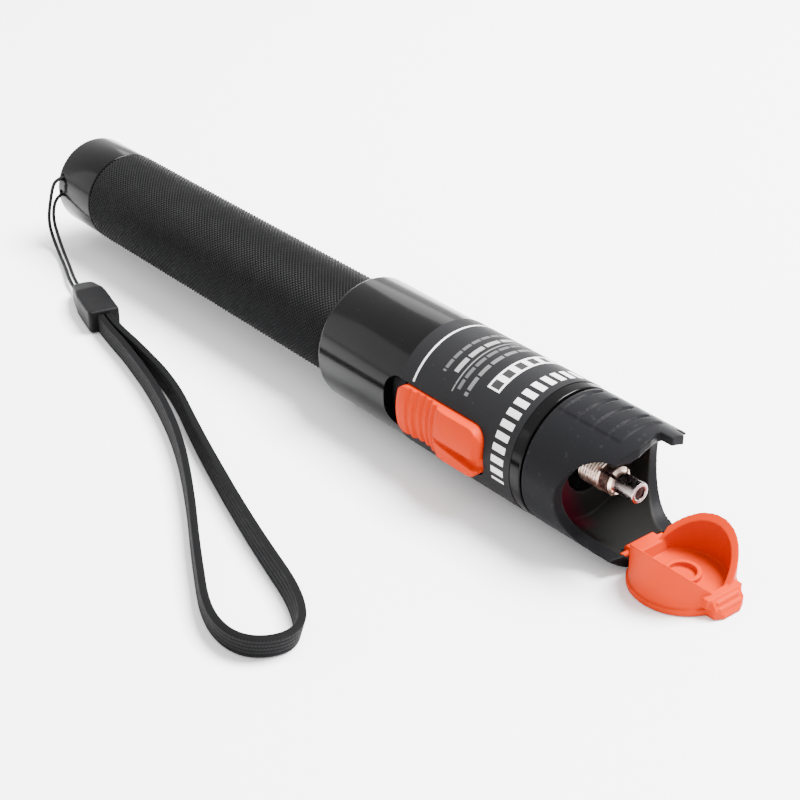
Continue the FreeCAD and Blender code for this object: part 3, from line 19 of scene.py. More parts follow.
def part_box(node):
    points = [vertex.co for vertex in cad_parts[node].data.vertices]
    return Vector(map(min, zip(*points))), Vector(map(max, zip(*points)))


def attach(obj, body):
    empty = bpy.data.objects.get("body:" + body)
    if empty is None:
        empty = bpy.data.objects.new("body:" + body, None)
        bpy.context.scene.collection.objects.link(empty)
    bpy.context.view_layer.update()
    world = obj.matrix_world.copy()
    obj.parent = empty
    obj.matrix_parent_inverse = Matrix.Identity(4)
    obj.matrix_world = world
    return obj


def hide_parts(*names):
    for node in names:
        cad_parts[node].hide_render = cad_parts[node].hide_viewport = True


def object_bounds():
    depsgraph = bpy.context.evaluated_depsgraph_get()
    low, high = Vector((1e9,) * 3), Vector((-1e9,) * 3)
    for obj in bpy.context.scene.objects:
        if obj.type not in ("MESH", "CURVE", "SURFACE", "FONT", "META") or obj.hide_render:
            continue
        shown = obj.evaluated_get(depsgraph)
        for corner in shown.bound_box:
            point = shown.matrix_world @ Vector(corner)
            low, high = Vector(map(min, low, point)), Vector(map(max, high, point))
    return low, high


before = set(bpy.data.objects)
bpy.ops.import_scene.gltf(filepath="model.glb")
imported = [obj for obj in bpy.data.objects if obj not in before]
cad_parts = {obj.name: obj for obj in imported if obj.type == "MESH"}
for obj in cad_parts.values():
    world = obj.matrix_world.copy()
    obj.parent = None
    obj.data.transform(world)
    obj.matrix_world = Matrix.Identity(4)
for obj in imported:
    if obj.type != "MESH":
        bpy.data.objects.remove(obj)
CAD_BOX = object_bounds()

LOG = logging.getLogger("fault_locator")
MM = 0.001
MERGE_DISTANCE = 1e-7
ALMOST_STRAIGHT = math.radians(89)
# Socket numbers of a mix node that blends colours.
MIX_SHARE, MIX_LOW, MIX_HIGH = 0, 6, 7
MIX_RESULT = 2
Colour = tuple[float, float, float]
Point = tuple[float, float, float]
Outline = Sequence[tuple[float, float]]
Faces = list[tuple[int, ...]]
Material = bpy.types.Material
Mesh = bpy.types.Mesh
Object = bpy.types.Object
Socket = bpy.types.NodeSocket


class Body(Enum):
    """The rigid bodies that pieces ride on."""

    HOUSING = "housing"
    SWITCH = "switch"
    DUST_CAP = "dust_cap"
    TAIL_CAP = "tail_cap"


# --- Shader graphs ------------------------------------------------------------


class Value:
    """A number socket of a shader graph that can be used in expressions."""

    def __init__(self, graph: "Graph", socket: Socket) -> None:
        """Wrap a socket.

        Args:
            graph: The graph that the socket belongs to.
            socket: The output socket that gives the number.
        """
        self.graph = graph
        self.socket = socket

    def _join(self, operation: str, first: object, second: object) -> "Value":
        """Return a Math node of two numbers."""
        node = self.graph.node("ShaderNodeMath", {"operation": operation}, {0: first, 1: second})
        return Value(self.graph, node.outputs[0])

    def _alone(self, operation: str) -> "Value":
        """Return a Math node of this number alone."""
        node = self.graph.node("ShaderNodeMath", {"operation": operation}, {0: self})
        return Value(self.graph, node.outputs[0])

    def __add__(self, other: object) -> "Value":
        """Return self + other."""
        return self._join("ADD", self, other)

    __radd__ = __add__

    def __sub__(self, other: object) -> "Value":
        """Return self - other."""
        return self._join("SUBTRACT", self, other)

    def __rsub__(self, other: object) -> "Value":
        """Return other - self."""
        return self._join("SUBTRACT", other, self)

    def __mul__(self, other: object) -> "Value":
        """Return self * other."""
        return self._join("MULTIPLY", self, other)

    def __truediv__(self, other: object) -> "Value":
        """Return self / other."""
        return self._join("DIVIDE", self, other)

    def __neg__(self) -> "Value":
        """Return -self."""
        return self * -1.0

    def __gt__(self, other: object) -> "Value":
        """Return 1 where self is greater than other."""
        return self._join("GREATER_THAN", self, other)

    def __lt__(self, other: object) -> "Value":
        """Return 1 where self is less than other."""
        return self._join("LESS_THAN", self, other)

    def __abs__(self) -> "Value":
        """Return the absolute value."""
        return self._alone("ABSOLUTE")

    def fraction(self) -> "Value":
        """Return the part after the decimal point."""
        return self._alone("FRACT")

    def whole(self) -> "Value":
        """Return the number rounded down."""
        return self._alone("FLOOR")

    def sine(self) -> "Value":
        """Return the sine."""
        return self._alone("SINE")

    def root(self) -> "Value":
        """Return the square root."""
        return self._alone("SQRT")

    def least(self, other: object) -> "Value":
        """Return the smaller of self and other."""
        return self._join("MINIMUM", self, other)

    def most(self, other: object) -> "Value":
        """Return the greater of self and other."""
        return self._join("MAXIMUM", self, other)

    def angle_of(self, along: "Value") -> "Value":
        """Return the angle whose tangent is self over along."""
        return self._join("ARCTAN2", self, along)

    def between(self, low: float, high: float) -> "Value":
        """Return 1 where self lies between low and high."""
        return (self > low) * (self < high)

    def step(self, low: float, high: float) -> "Value":
        """Return a smooth step.

        Args:
            low: Where the step is 0.
            high: Where the step is 1.

        Returns:
            The step's number.
        """
        node = self.graph.node(
            "ShaderNodeMapRange",
            {"interpolation_type": "SMOOTHSTEP"},
            {0: self, 1: low, 2: high, 3: 0.0, 4: 1.0},
        )
        return Value(self.graph, node.outputs[0])


class Graph:
    """The node graph of one material, with a Principled shader at its end."""

    def __init__(self, name: str, **constants: object) -> None:
        """Start a material.

        Args:
            name: The material's name.
            **constants: Fixed inputs of the shader, with _ for each space.
        """
        self.material = bpy.data.materials.new(name)
        self.material.use_nodes = True
        self.tree = self.material.node_tree
        self.tree.nodes.clear()
        self.shader = self.tree.nodes.new("ShaderNodeBsdfPrincipled")
        output = self.tree.nodes.new("ShaderNodeOutputMaterial")
        self.tree.links.new(self.shader.outputs[0], output.inputs["Surface"])
        for word, amount in constants.items():
            self.shader.inputs[word.replace("_", " ")].default_value = amount

    def node(
        self,
        kind: str,
        settings: Mapping[str, object] | None = None,
        inputs: Mapping[int | str, object] | None = None,
    ) -> bpy.types.Node:
        """Add a node.

        Args:
            kind: The node's type.
            settings: Its own settings, set first.
            inputs: Values or links of its sockets.

        Returns:
            The new node.
        """
        node = self.tree.nodes.new(kind)
        for word, setting in (settings or {}).items():
            setattr(node, word, setting)
        for key, given in (inputs or {}).items():
            self._feed(node.inputs[key], given)
        return node

    def _feed(self, socket: Socket, given: object) -> None:
        """Link or set one input.

        Args:
            socket: The input socket.
            given: A number, a colour, a value or a socket to link.
        """
        if isinstance(given, Value):
            self.tree.links.new(given.socket, socket)
        elif isinstance(given, Socket):
            self.tree.links.new(given, socket)
        elif isinstance(given, tuple) and len(given) == 3 and len(socket.default_value) == 4:
            socket.default_value = (*given, 1.0)
        else:
            socket.default_value = given

    def feed(self, word: str, given: object) -> None:
        """Link or set one input of the Principled shader."""
        self._feed(self.shader.inputs[word], given)

    def place(self) -> Socket:
        """Return the object coordinates, which are the frame's in metres."""
        return self.node("ShaderNodeTexCoord").outputs["Object"]

    def axes(self, vector: Socket | None = None) -> tuple[Value, Value, Value]:
        """Return the x, y and z of a vector, or of the object coordinates."""
        split = self.node("ShaderNodeSeparateXYZ", None, {0: vector or self.place()})
        return tuple(Value(self, socket) for socket in split.outputs)

    def vector(self, *parts: object) -> Socket:
        """Return a vector of three numbers."""
        joined = self.node("ShaderNodeCombineXYZ", None, dict(enumerate(parts)))
        return joined.outputs[0]

    def noise(
        self, scale: float, detail: float = 2.0, vector: Socket | None = None
    ) -> Value:
        """Return smooth noise from 0 to 1 with a scale per metre."""
        inputs = {"Vector": vector or self.place(), "Scale": scale, "Detail": detail}
        return Value(self, self.node("ShaderNodeTexNoise", None, inputs).outputs[0])

    def radius(self) -> Value:
        """Return the distance from the pen's axis."""
        _, y, z = self.axes()
        return (y * y + z * z).root()

    def patches(
        self, scale: float, detail: float, low: float, high: float,
        vector: Socket | None = None,
    ) -> Value:
        """Return soft patches of noise, 0 under low and 1 over high."""
        return self.noise(scale, detail, vector).step(low, high)

    def sway(self, scale: float, detail: float, reach: float) -> Value:
        """Return noise that sways about 0, with a reach from end to end."""
        return (self.noise(scale, detail) - 0.5) * reach

    def dots(self, scale: float, core: float, rim: float) -> Value:
        """Return small dots, 1 inside the core and 0 outside the rim."""
        cells = self.node("ShaderNodeTexVoronoi", None, {"Vector": self.place(), "Scale": scale})
        return 1 - Value(self, cells.outputs[0]).step(core, rim)

    def mix(self, mask: object, low: object, high: object) -> Socket:
        """Return a colour between low and high.

        Args:
            mask: The share of high, from 0 to 1.
            low: The colour at 0.
            high: The colour at 1.

        Returns:
            The mixed colour.
        """
        settings = {"data_type": "RGBA"}
        inputs = {MIX_SHARE: mask, MIX_LOW: low, MIX_HIGH: high}
        return self.node("ShaderNodeMix", settings, inputs).outputs[MIX_RESULT]

    def bump(self, height: Value, depth: float, rounding: float = 0.0) -> None:
        """Raise the surface.

        Args:
            height: The height, from 0 to 1.
            depth: The height in metres that 1 stands for.
            rounding: The radius in metres that edges look rounded by.
        """
        inputs = {"Height": height, "Distance": depth, "Strength": 1.0}
        if rounding:
            bevel = self.node("ShaderNodeBevel", {"samples": 4}, {"Radius": rounding})
            inputs["Normal"] = bevel.outputs[0]
        self.feed("Normal", self.node("ShaderNodeBump", None, inputs).outputs[0])


# --- Finishes -------------------------------------------------------------------


@dataclass(frozen=True)
class Moulding:
    """Moulded plastic with a fine grain, handling marks and a soft sheen."""

    name: str
    colour: Colour
    worn_colour: Colour
    roughness: float = 0.4
    shine: float = 0.07
    grain: float = 0.16 * MM
    grain_depth: float = 0.006 * MM
    rounding: float = 0.12 * MM
    worn_share: float = 0.35

    def material(self) -> Material:
        """Make the material.

        Returns:
            The new material.
        """
        graph = Graph(self.name, IOR=1.5, Specular_IOR_Level=self.shine)
        marks = graph.patches(scale=180.0, detail=4.0, low=0.45, high=0.75)
        graph.feed("Base Color", graph.mix(marks * self.worn_share, self.colour, self.worn_colour))
        graph.feed("Roughness", self.roughness + graph.sway(scale=420.0, detail=3.0, reach=0.14))
        graph.bump(graph.noise(scale=1.0 / self.grain), self.grain_depth, self.rounding)
        return graph.material


@dataclass(frozen=True)
class HeadMoulding:
    """Satin black plastic of the head, with a painted lighter tone inside its bore and a painted dim
    red glow deep in its recess, both painted light.
    """

    name: str
    colour: Colour
    bore_painted_light_colour: Colour
    painted_glow_colour: Colour
    painted_glow_front: float
    painted_glow_rear: float
    bore: float
    bore_blend: tuple[float, float] = (0.1 * MM, 0.5 * MM)
    painted_glow_slope: float = 0.4
    painted_glow_bottom: float = -9 * MM
    painted_glow_top: float = -3 * MM
    scuff_colour: Colour = (0.03, 0.03, 0.031)
    scuff_share: float = 0.25
    roughness: float = 0.36
    shine: float = 0.02
    grain_depth: float = 0.008 * MM
    rounding: float = 0.15 * MM

    def material(self) -> Material:
        """Make the material.

        Returns:
            The new material.
        """
        graph = Graph(self.name, IOR=1.5, Specular_IOR_Level=self.shine)
        x, y, z = graph.axes()
        near, far = self.bore_blend
        inside = 1 - graph.radius().step(self.bore + near, self.bore + far)
        # Painted light: a dim red glow is painted on the lower part of the bore, deep in the recess,
        # though nothing there is a lamp.
        deep = 1 - x.step(self.painted_glow_rear, self.painted_glow_front)
        lower = 1 - (y + z * self.painted_glow_slope).step(self.painted_glow_bottom, self.painted_glow_top)
        scuffs = graph.patches(scale=900.0, detail=5.0, low=0.62, high=0.72)
        worn = graph.mix(scuffs * self.scuff_share, self.colour, self.scuff_colour)
        # Painted light: the bore is painted a lighter tone than the outside of the same moulding.
        painted_bore_tone = graph.mix(inside, worn, self.bore_painted_light_colour)
        graph.feed("Base Color", graph.mix(inside * deep * lower, painted_bore_tone, self.painted_glow_colour))
        graph.feed("Roughness", self.roughness + graph.sway(scale=500.0, detail=3.0, reach=0.16))
        graph.bump(graph.noise(scale=6500.0), self.grain_depth, self.rounding)
        return graph.material


@dataclass(frozen=True)
class Lacquer:
    """Glossy black lacquer over turned metal, with hairline marks and dust."""

    name: str
    colour: Colour
    roughness: float = 0.16
    shine: float = 0.075
    coat: float = 0.02
    coat_swing: float = 0.05
    dust_colour: Colour = (0.16, 0.16, 0.16)
    dust_share: float = 0.2
    marks_along: float = 60.0
    marks_across: float = 900.0
    mark_depth: float = 0.0015 * MM

    def material(self) -> Material:
        """Make the material.

        Returns:
            The new material.
        """
        graph = Graph(
            self.name, IOR=1.5, Specular_IOR_Level=self.shine, Coat_Roughness=0.06)
        x, y, z = graph.axes()
        drawn = graph.vector(x * self.marks_along, y * self.marks_across, z * self.marks_across)
        hairlines = graph.patches(scale=1.0, detail=5.0, low=0.55, high=0.75, vector=drawn)
        dust = graph.dots(scale=700.0, core=0.02, rim=0.06)
        graph.feed("Base Color", graph.mix(dust * self.dust_share, self.colour, self.dust_colour))
        blotches = graph.noise(scale=130.0)
        rough = self.roughness + hairlines * 0.05 + (blotches - 0.5) * 0.08
        graph.feed("Roughness", rough)
        graph.feed("Coat Weight", self.coat + blotches * self.coat_swing)
        graph.bump(graph.noise(scale=1.0, detail=3.0, vector=drawn), self.mark_depth)
        return graph.material


@dataclass(frozen=True)
class Anodised:
    """Matte black anodised metal of the knurled grip, with paler crests."""

    name: str
    colour: Colour
    crest_colour: Colour
    root_radius: float
    crest_radius: float
    worn_share: float = 0.6
    roughness: float = 0.52
    shine: float = 0.05
    grain_depth: float = 0.01 * MM

    def material(self) -> Material:
        """Make the material.

        Returns:
            The new material.
        """
        graph = Graph(self.name, IOR=1.5, Specular_IOR_Level=self.shine)
        crest = graph.radius().step(self.root_radius, self.crest_radius)
        wear = graph.patches(scale=260.0, detail=4.0, low=0.4, high=0.75)
        share = crest * wear * self.worn_share
        graph.feed("Base Color", graph.mix(share, self.colour, self.crest_colour))
        rough = self.roughness - crest * 0.1 + graph.sway(scale=900.0, detail=2.0, reach=0.12)
        graph.feed("Roughness", rough)
        graph.bump(graph.noise(scale=5200.0), self.grain_depth)
        return graph.material


@dataclass(frozen=True)
class TurnedMetal:
    """Bare turned metal with fine tool marks round the pen's axis."""

    name: str
    colour: Colour
    stain_colour: Colour
    roughness: float = 0.22
    stain_share: float = 0.6
    mark_pitch: float = 0.11 * MM
    mark_depth: float = 0.003 * MM
    rounding: float = 0.05 * MM

    def material(self) -> Material:
        """Make the material.

        Returns:
            The new material.
        """
        graph = Graph(self.name, Metallic=1.0)
        x, _, _ = graph.axes()
        marks = (x * (2 * math.pi / self.mark_pitch)).sine() * 0.5 + 0.5
        stain = graph.patches(scale=650.0, detail=4.0, low=0.45, high=0.8)
        tone = graph.mix(stain * self.stain_share, self.colour, self.stain_colour)
        graph.feed("Base Color", tone)
        graph.feed("Roughness", self.roughness + stain * 0.16 + marks * 0.06)
        graph.bump(marks, self.mark_depth, self.rounding)
        return graph.material


@dataclass(frozen=True)
class Woven:
    """Braided black polyester with ribs along it and cross threads, with painted shade in the valleys
    between threads and painted light on their crowns.
    """

    name: str
    colour: Colour
    painted_crown_light_colour: Colour
    ribs: float
    picks: float
    rib_crown: float = 0.75
    pick_crown: float = 0.6
    fuzz_share: float = 0.15
    roughness: float = 0.72
    shine: float = 0.05
    depth: float = 0.16 * MM

    def material(self) -> Material:
        """Make the material: U runs across the band and V along it.

        Returns:
            The new material.
        """
        graph = Graph(self.name, IOR=1.5, Specular_IOR_Level=self.shine)
        u, v, _ = graph.axes(graph.node("ShaderNodeTexCoord").outputs["UV"])
        across = u * self.ribs
        odd = (across.whole() * 0.5).fraction() * 2.0
        along = v * self.picks + odd * 0.5
        rib = 1 - abs(across.fraction() - 0.5) * 2.0
        pick = 1 - abs(along.fraction() - 0.5) * 2.0
        # Each thread is flat on its crown, and the valleys along the ribs are the deeper ones.
        thread = (rib.least(self.rib_crown) * 1.33) * (pick.least(self.pick_crown) * 0.9 + 0.46)
        fuzz = graph.noise(scale=2600.0, detail=4.0)
        height = thread * (1 - self.fuzz_share) + fuzz * self.fuzz_share
        # Painted light and shade: the crowns of the threads are painted lighter and the valleys between
        # them darker; the fuzz in the height adds random tone.
        graph.feed("Base Color", graph.mix(height, self.colour, self.painted_crown_light_colour))
        graph.feed("Roughness", self.roughness + (fuzz - 0.5) * 0.3)
        graph.bump(height, self.depth)
        return graph.material


@dataclass(frozen=True)
class Dashes:
    """One band of plain dashes on the film.

    The band's ends are in metres from the film's rear edge, and its angles in
    degrees.  The pitch of the dashes is in metres, and the share says which part
    of the pitch is printed.  The tone is how white the dashes are.
    """

    rear: float
    front: float
    start: float
    end: float
    pitch: float
    tone: float = 1.0
    share: tuple[float, float] = (0.0, 0.86)


@dataclass(frozen=True)
class PrintedFilm:
    """The dark film round the front body with its plain white marks.

    Angles run round the pen from its -Y side upward, in degrees.
    """

    name: str
    colour: Colour
    ink: Colour
    radius: float
    rear: float
    line: float
    line_start: float
    block: Dashes
    block_border: float
    bands: tuple[Dashes, ...]
    line_width: float = 0.48 * MM
    print_end: float = 150.0
    speck_colour: Colour = (0.2, 0.2, 0.2)
    speck_share: float = 0.3
    worn_share: float = 0.7
    roughness: float = 0.42
    shine: float = 0.04
    depth: float = 0.012 * MM

    def material(self) -> Material:
        """Make the material.

        Returns:
            The new material.
        """
        graph = Graph(self.name, IOR=1.48, Specular_IOR_Level=self.shine)
        x, y, z = graph.axes()
        turn = z.angle_of(-y) * (180.0 / math.pi)
        arc = turn * (math.pi / 180.0 * self.radius)

        def area(band: Dashes, border: float = 0.0) -> Value:
            """Return 1 inside the rectangle that a band of dashes fills."""
            ends = x.between(self.rear + band.rear + border, self.rear + band.front - border)
            return ends * turn.between(band.start, band.end)

        def printed(band: Dashes) -> Value:
            """Return 1 at the angles where a band's dashes lie."""
            return (arc / band.pitch).fraction().between(*band.share)

        ring = abs(x - (self.rear + self.line)) < self.line_width / 2
        ink = ring * turn.between(self.line_start, self.print_end)
        inner = area(self.block, self.block_border) * printed(self.block)
        ink = ink.most(area(self.block) * (1 - inner * self.block.tone))
        for band in self.bands:
            ink = ink.most(area(band) * printed(band) * band.tone)
        worn = 1 - graph.patches(scale=2200.0, detail=3.0, low=0.66, high=0.76) * self.worn_share
        specks = graph.dots(scale=500.0, core=0.02, rim=0.05)
        film = graph.mix(specks * self.speck_share, self.colour, self.speck_colour)
        graph.feed("Base Color", graph.mix(ink * worn, film, self.ink))
        rough = self.roughness + ink * 0.12 + graph.sway(scale=350.0, detail=2.0, reach=0.1)
        graph.feed("Roughness", rough)
        graph.bump(ink * 0.4 + graph.noise(scale=3600.0) * 0.3, self.depth)
        return graph.material


@dataclass(frozen=True)
class CellJacket:
    """The plain two-tone jacket of a battery."""

    name: str
    colour: Colour
    band_colour: Colour
    scuff_colour: Colour = (0.5, 0.5, 0.5)
    bands_per_metre: float = 19.8
    band_start: float = 0.7
    band_blend: float = 0.01
    roughness: float = 0.3
    depth: float = 0.004 * MM

    def material(self) -> Material:
        """Make the material.

        Returns:
            The new material.
        """
        graph = Graph(self.name, Metallic=0.6)
        x, _, _ = graph.axes()
        place = (x * self.bands_per_metre).fraction()
        band = place.step(self.band_start, self.band_start + self.band_blend)
        scuffs = graph.patches(scale=700.0, detail=4.0, low=0.6, high=0.75)
        tone = graph.mix(band, self.colour, self.band_colour)
        graph.feed("Base Color", graph.mix(scuffs * 0.3, tone, self.scuff_colour))
        graph.feed("Roughness", self.roughness + scuffs * 0.2)
        graph.bump(graph.noise(scale=1500.0), self.depth)
        return graph.material


@dataclass(frozen=True)
class Glass:
    """Coated lens glass."""

    name: str
    warm: Colour = (0.95, 0.85, 0.9)
    cool: Colour = (0.85, 0.9, 0.98)
    roughness: float = 0.03

    def material(self) -> Material:
        """Make the material.

        Returns:
            The new material.
        """
        graph = Graph(self.name, IOR=1.52, Transmission_Weight=0.9)
        tint = graph.noise(scale=300.0, detail=1.0)
        graph.feed("Base Color", graph.mix(tint, self.warm, self.cool))
        graph.feed("Roughness", self.roughness + tint * 0.03)
        return graph.material


@dataclass(frozen=True)
class TableTop:
    """The pale, even table top."""

    name: str
    colour: Colour
    cloud_colour: Colour = (0.9, 0.9, 0.905)
    depth: float = 0.01 * MM

    def material(self) -> Material:
        """Make the material.

        Returns:
            The new material.
        """
        graph = Graph(self.name, Roughness=0.65)
        cloud = graph.noise(scale=9.0)
        graph.feed("Base Color", graph.mix(cloud * 0.3, self.colour, self.cloud_colour))
        graph.bump(graph.noise(scale=1500.0), self.depth)
        return graph.material


# --- Mesh helpers ------------------------------------------------------------------


def new_piece(name: str, mesh: Mesh, material: Material) -> Object:
    """Put a mesh into the scene as a dressed piece.

    Args:
        name: The piece's name.
        mesh: Its mesh.
        material: Its material.

    Returns:
        The new object.
    """
    piece = bpy.data.objects.new(name, mesh)
    bpy.context.scene.collection.objects.link(piece)
    mesh.materials.clear()
    mesh.materials.append(material)
    return piece


def shade(mesh: Mesh, sharp_above: float = 32.0) -> None:
    """Shade a mesh smooth, apart from its edges sharper than an angle in degrees."""
    mesh.shade_smooth()
    mesh.set_sharp_from_angle(angle=math.radians(sharp_above))


def baked(source: Object) -> Mesh:
    """Apply an object's modifiers and drop the object.

    Args:
        source: The object.

    Returns:
        Its finished mesh.
    """
    graph = bpy.context.evaluated_depsgraph_get()
    graph.update()
    mesh = bpy.data.meshes.new_from_object(source.evaluated_get(graph))
    bpy.data.objects.remove(source)
    return mesh


def solid_mesh(name: str, vertices: Sequence[Point], faces: Faces) -> Mesh:
    """Make a closed mesh with double points merged and all faces turned outward.

    Args:
        name: The mesh's name.
        vertices: Its points.
        faces: The points of each face, by number.

    Returns:
        The mesh.
    """
    mesh = bpy.data.meshes.new(name)
    mesh.from_pydata(vertices, [], faces)
    work = bmesh.new()
    work.from_mesh(mesh)
    bmesh.ops.remove_doubles(work, verts=work.verts, dist=MERGE_DISTANCE)
    bmesh.ops.dissolve_degenerate(work, edges=work.edges, dist=MERGE_DISTANCE)
    bmesh.ops.recalc_face_normals(work, faces=work.faces)
    work.to_mesh(mesh)
    work.free()
    return mesh


def ring_points(x: float, radii: Sequence[float]) -> list[Point]:
    """Return the points of one ring round the pen's axis.

    Args:
        x: Where the ring lies.
        radii: The radius of each of its points, evenly spread round the axis.

    Returns:
        The points.
    """
    turns = [2 * math.pi * column / len(radii) for column in range(len(radii))]
    return [(x, radius * math.sin(turn), radius * math.cos(turn)) for radius, turn in zip(radii, turns)]


def ring_faces(rings: int, columns: int, capped: bool = False) -> Faces:
    """List the faces between closed rings of points.

    Args:
        rings: How many rings there are.
        columns: How many points each ring has.
        capped: Whether the first and last ring are closed instead of joined.

    Returns:
        The points of each face.
    """
    faces: Faces = []
    for ring in range(rings - capped):
        following = (ring + 1) % rings
        for column in range(columns):
            across = (column + 1) % columns
            faces.append((
                ring * columns + column, following * columns + column,
                following * columns + across, ring * columns + across))
    if capped:
        faces.append(tuple(range(columns)))
        faces.append(tuple(reversed(range((rings - 1) * columns, rings * columns))))
    return faces


def lathe(name: str, profile: Outline, steps: int = 160) -> Mesh:
    """Turn a profile about the pen's axis.

    Args:
        name: The mesh's name.
        profile: Closed loop of (x, radius) points in metres.
        steps: Divisions round the axis.

    Returns:
        The closed mesh.
    """
    vertices = [
        (x, radius * math.sin(turn), radius * math.cos(turn))
        for turn in (2 * math.pi * step / steps for step in range(steps))
        for x, radius in profile
    ]
    faces = [(a, d, c, b) for a, b, c, d in ring_faces(steps, len(profile))]
    return solid_mesh(name, vertices, faces)


def rounded(
    corners: Sequence[tuple[float, float, float]], steps: int = 5
) -> list[tuple[float, float]]:
    """Round the corners of a closed outline.

    Args:
        corners: (across, along, radius) of each corner.
        steps: Divisions of each round corner.

    Returns:
        The points of the rounded outline.
    """
    points = []
    count = len(corners)
    for index, (across, along, radius) in enumerate(corners):
        corner = Vector((across, along))
        before = (Vector(corners[index - 1][:2]) - corner).normalized()
        after = (Vector(corners[(index + 1) % count][:2]) - corner).normalized()
        half = before.angle(after) / 2
        if radius <= 0 or half > ALMOST_STRAIGHT:
            points.append((across, along))
            continue
        centre = corner + (before + after).normalized() * (radius / math.sin(half))
        entry = corner + before * (radius / math.tan(half)) - centre
        leave = corner + after * (radius / math.tan(half)) - centre
        sweep = entry.angle_signed(leave)
        for step in range(steps + 1):
            arm = entry.copy()
            arm.rotate(Matrix.Rotation(-sweep * step / steps, 2))
            points.append(tuple(centre + arm))
    return points


def remeshed(
    name: str, sources: Iterable[Mesh], voxel: float, passes: int
) -> Mesh:
    """Join closed meshes into one skin with softly rounded edges.

    Args:
        name: The new mesh's name.
        sources: Closed meshes, which may overlap.
        voxel: The size of its faces in metres.
        passes: How often the skin is smoothed.

    Returns:
        The new mesh.
    """
    work = bmesh.new()
    for mesh in sources:
        work.from_mesh(mesh)
    bmesh.ops.remove_doubles(work, verts=work.verts, dist=MERGE_DISTANCE)
    joined = bpy.data.meshes.new(name)
    work.to_mesh(joined)
    work.free()
    helper = bpy.data.objects.new(name, joined)
    bpy.context.scene.collection.objects.link(helper)
    remesh = helper.modifiers.new("skin", "REMESH")
    remesh.mode = "VOXEL"
    remesh.voxel_size = voxel
    smooth = helper.modifiers.new("soften", "SMOOTH")
    smooth.factor = 0.5
    smooth.iterations = passes
    mesh = baked(helper)
    mesh.name = name
    mesh.shade_smooth()
    return mesh


def carved(name: str, body: Mesh, cutters: Iterable[Mesh]) -> Mesh:
    """Cut closed meshes out of a body.

    Args:
        name: The new mesh's name.
        body: The mesh that is cut.
        cutters: What is cut away.

    Returns:
        The cut mesh.
    """
    helper = bpy.data.objects.new(name, body)
    bpy.context.scene.collection.objects.link(helper)
    tools = []
    for cutter in cutters:
        tool = bpy.data.objects.new("cutter", cutter)
        bpy.context.scene.collection.objects.link(tool)
        tools.append(tool)
        cut = helper.modifiers.new("cut", "BOOLEAN")
        cut.operation = "DIFFERENCE"
        cut.solver = "EXACT"
        cut.object = tool
    mesh = baked(helper)
    mesh.name = name
    for tool in tools:
        bpy.data.objects.remove(tool)
    return mesh


def prism(
    name: str,
    outline: Outline,
    low: float,
    high: float,
    place: Callable[[float, float, float], Point],
) -> Mesh:
    """Make a straight solid from an outline.

    Args:
        name: The mesh's name.
        outline: Closed loop of points.
        low: Where the solid starts.
        high: Where the solid ends.
        place: Turns (across, along, height) into a point of the frame.

    Returns:
        The closed mesh.
    """
    vertices = [place(a, b, level) for level in (low, high) for a, b in outline]
    return solid_mesh(name, vertices, ring_faces(2, len(outline), capped=True))


def toward_switch(along: float, up: float, depth: float) -> Point:
    """Place a point given along the pen, upward, and out toward the switch side."""
    return (along, -depth, up)


def smooth_through(points: Outline, place: float) -> float:
    """Return the height of a smooth line through points.

    Args:
        points: (place, height) of each point, in order.
        place: Where the height is wanted.

    Returns:
        The height there, which stays level beyond the first and last point.
    """
    if place <= points[0][0]:
        return points[0][1]
    for (start, low), (end, high) in zip(points, points[1:]):
        if place <= end:
            share = (place - start) / (end - start)
            return low + (high - low) * share * share * (3 - 2 * share)
    return points[-1][1]


def node_mesh(node: str) -> Mesh:
    """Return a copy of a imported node's mesh."""
    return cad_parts[node].data.copy()


def dress(node: str, material: Material) -> None:
    """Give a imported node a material.

    Args:
        node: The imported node.
        material: What it wears.
    """
    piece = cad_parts[node]
    if not piece.material_slots:
        piece.data.materials.append(material)
    for place in piece.material_slots:
        place.material = material


def seat(
    name: str, mesh: Mesh, material: Material, body: Body, node: str, slot: str
) -> Object:
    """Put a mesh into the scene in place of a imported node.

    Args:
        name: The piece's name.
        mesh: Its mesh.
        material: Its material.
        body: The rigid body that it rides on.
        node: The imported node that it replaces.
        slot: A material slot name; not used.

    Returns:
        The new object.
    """
    piece = new_piece(name, mesh, material)
    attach(piece, body.value)
    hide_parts(node)
    LOG.info("%s: %d faces", name, len(mesh.polygons))
    return piece


# --- Sub-assemblies -----------------------------------------------------------------


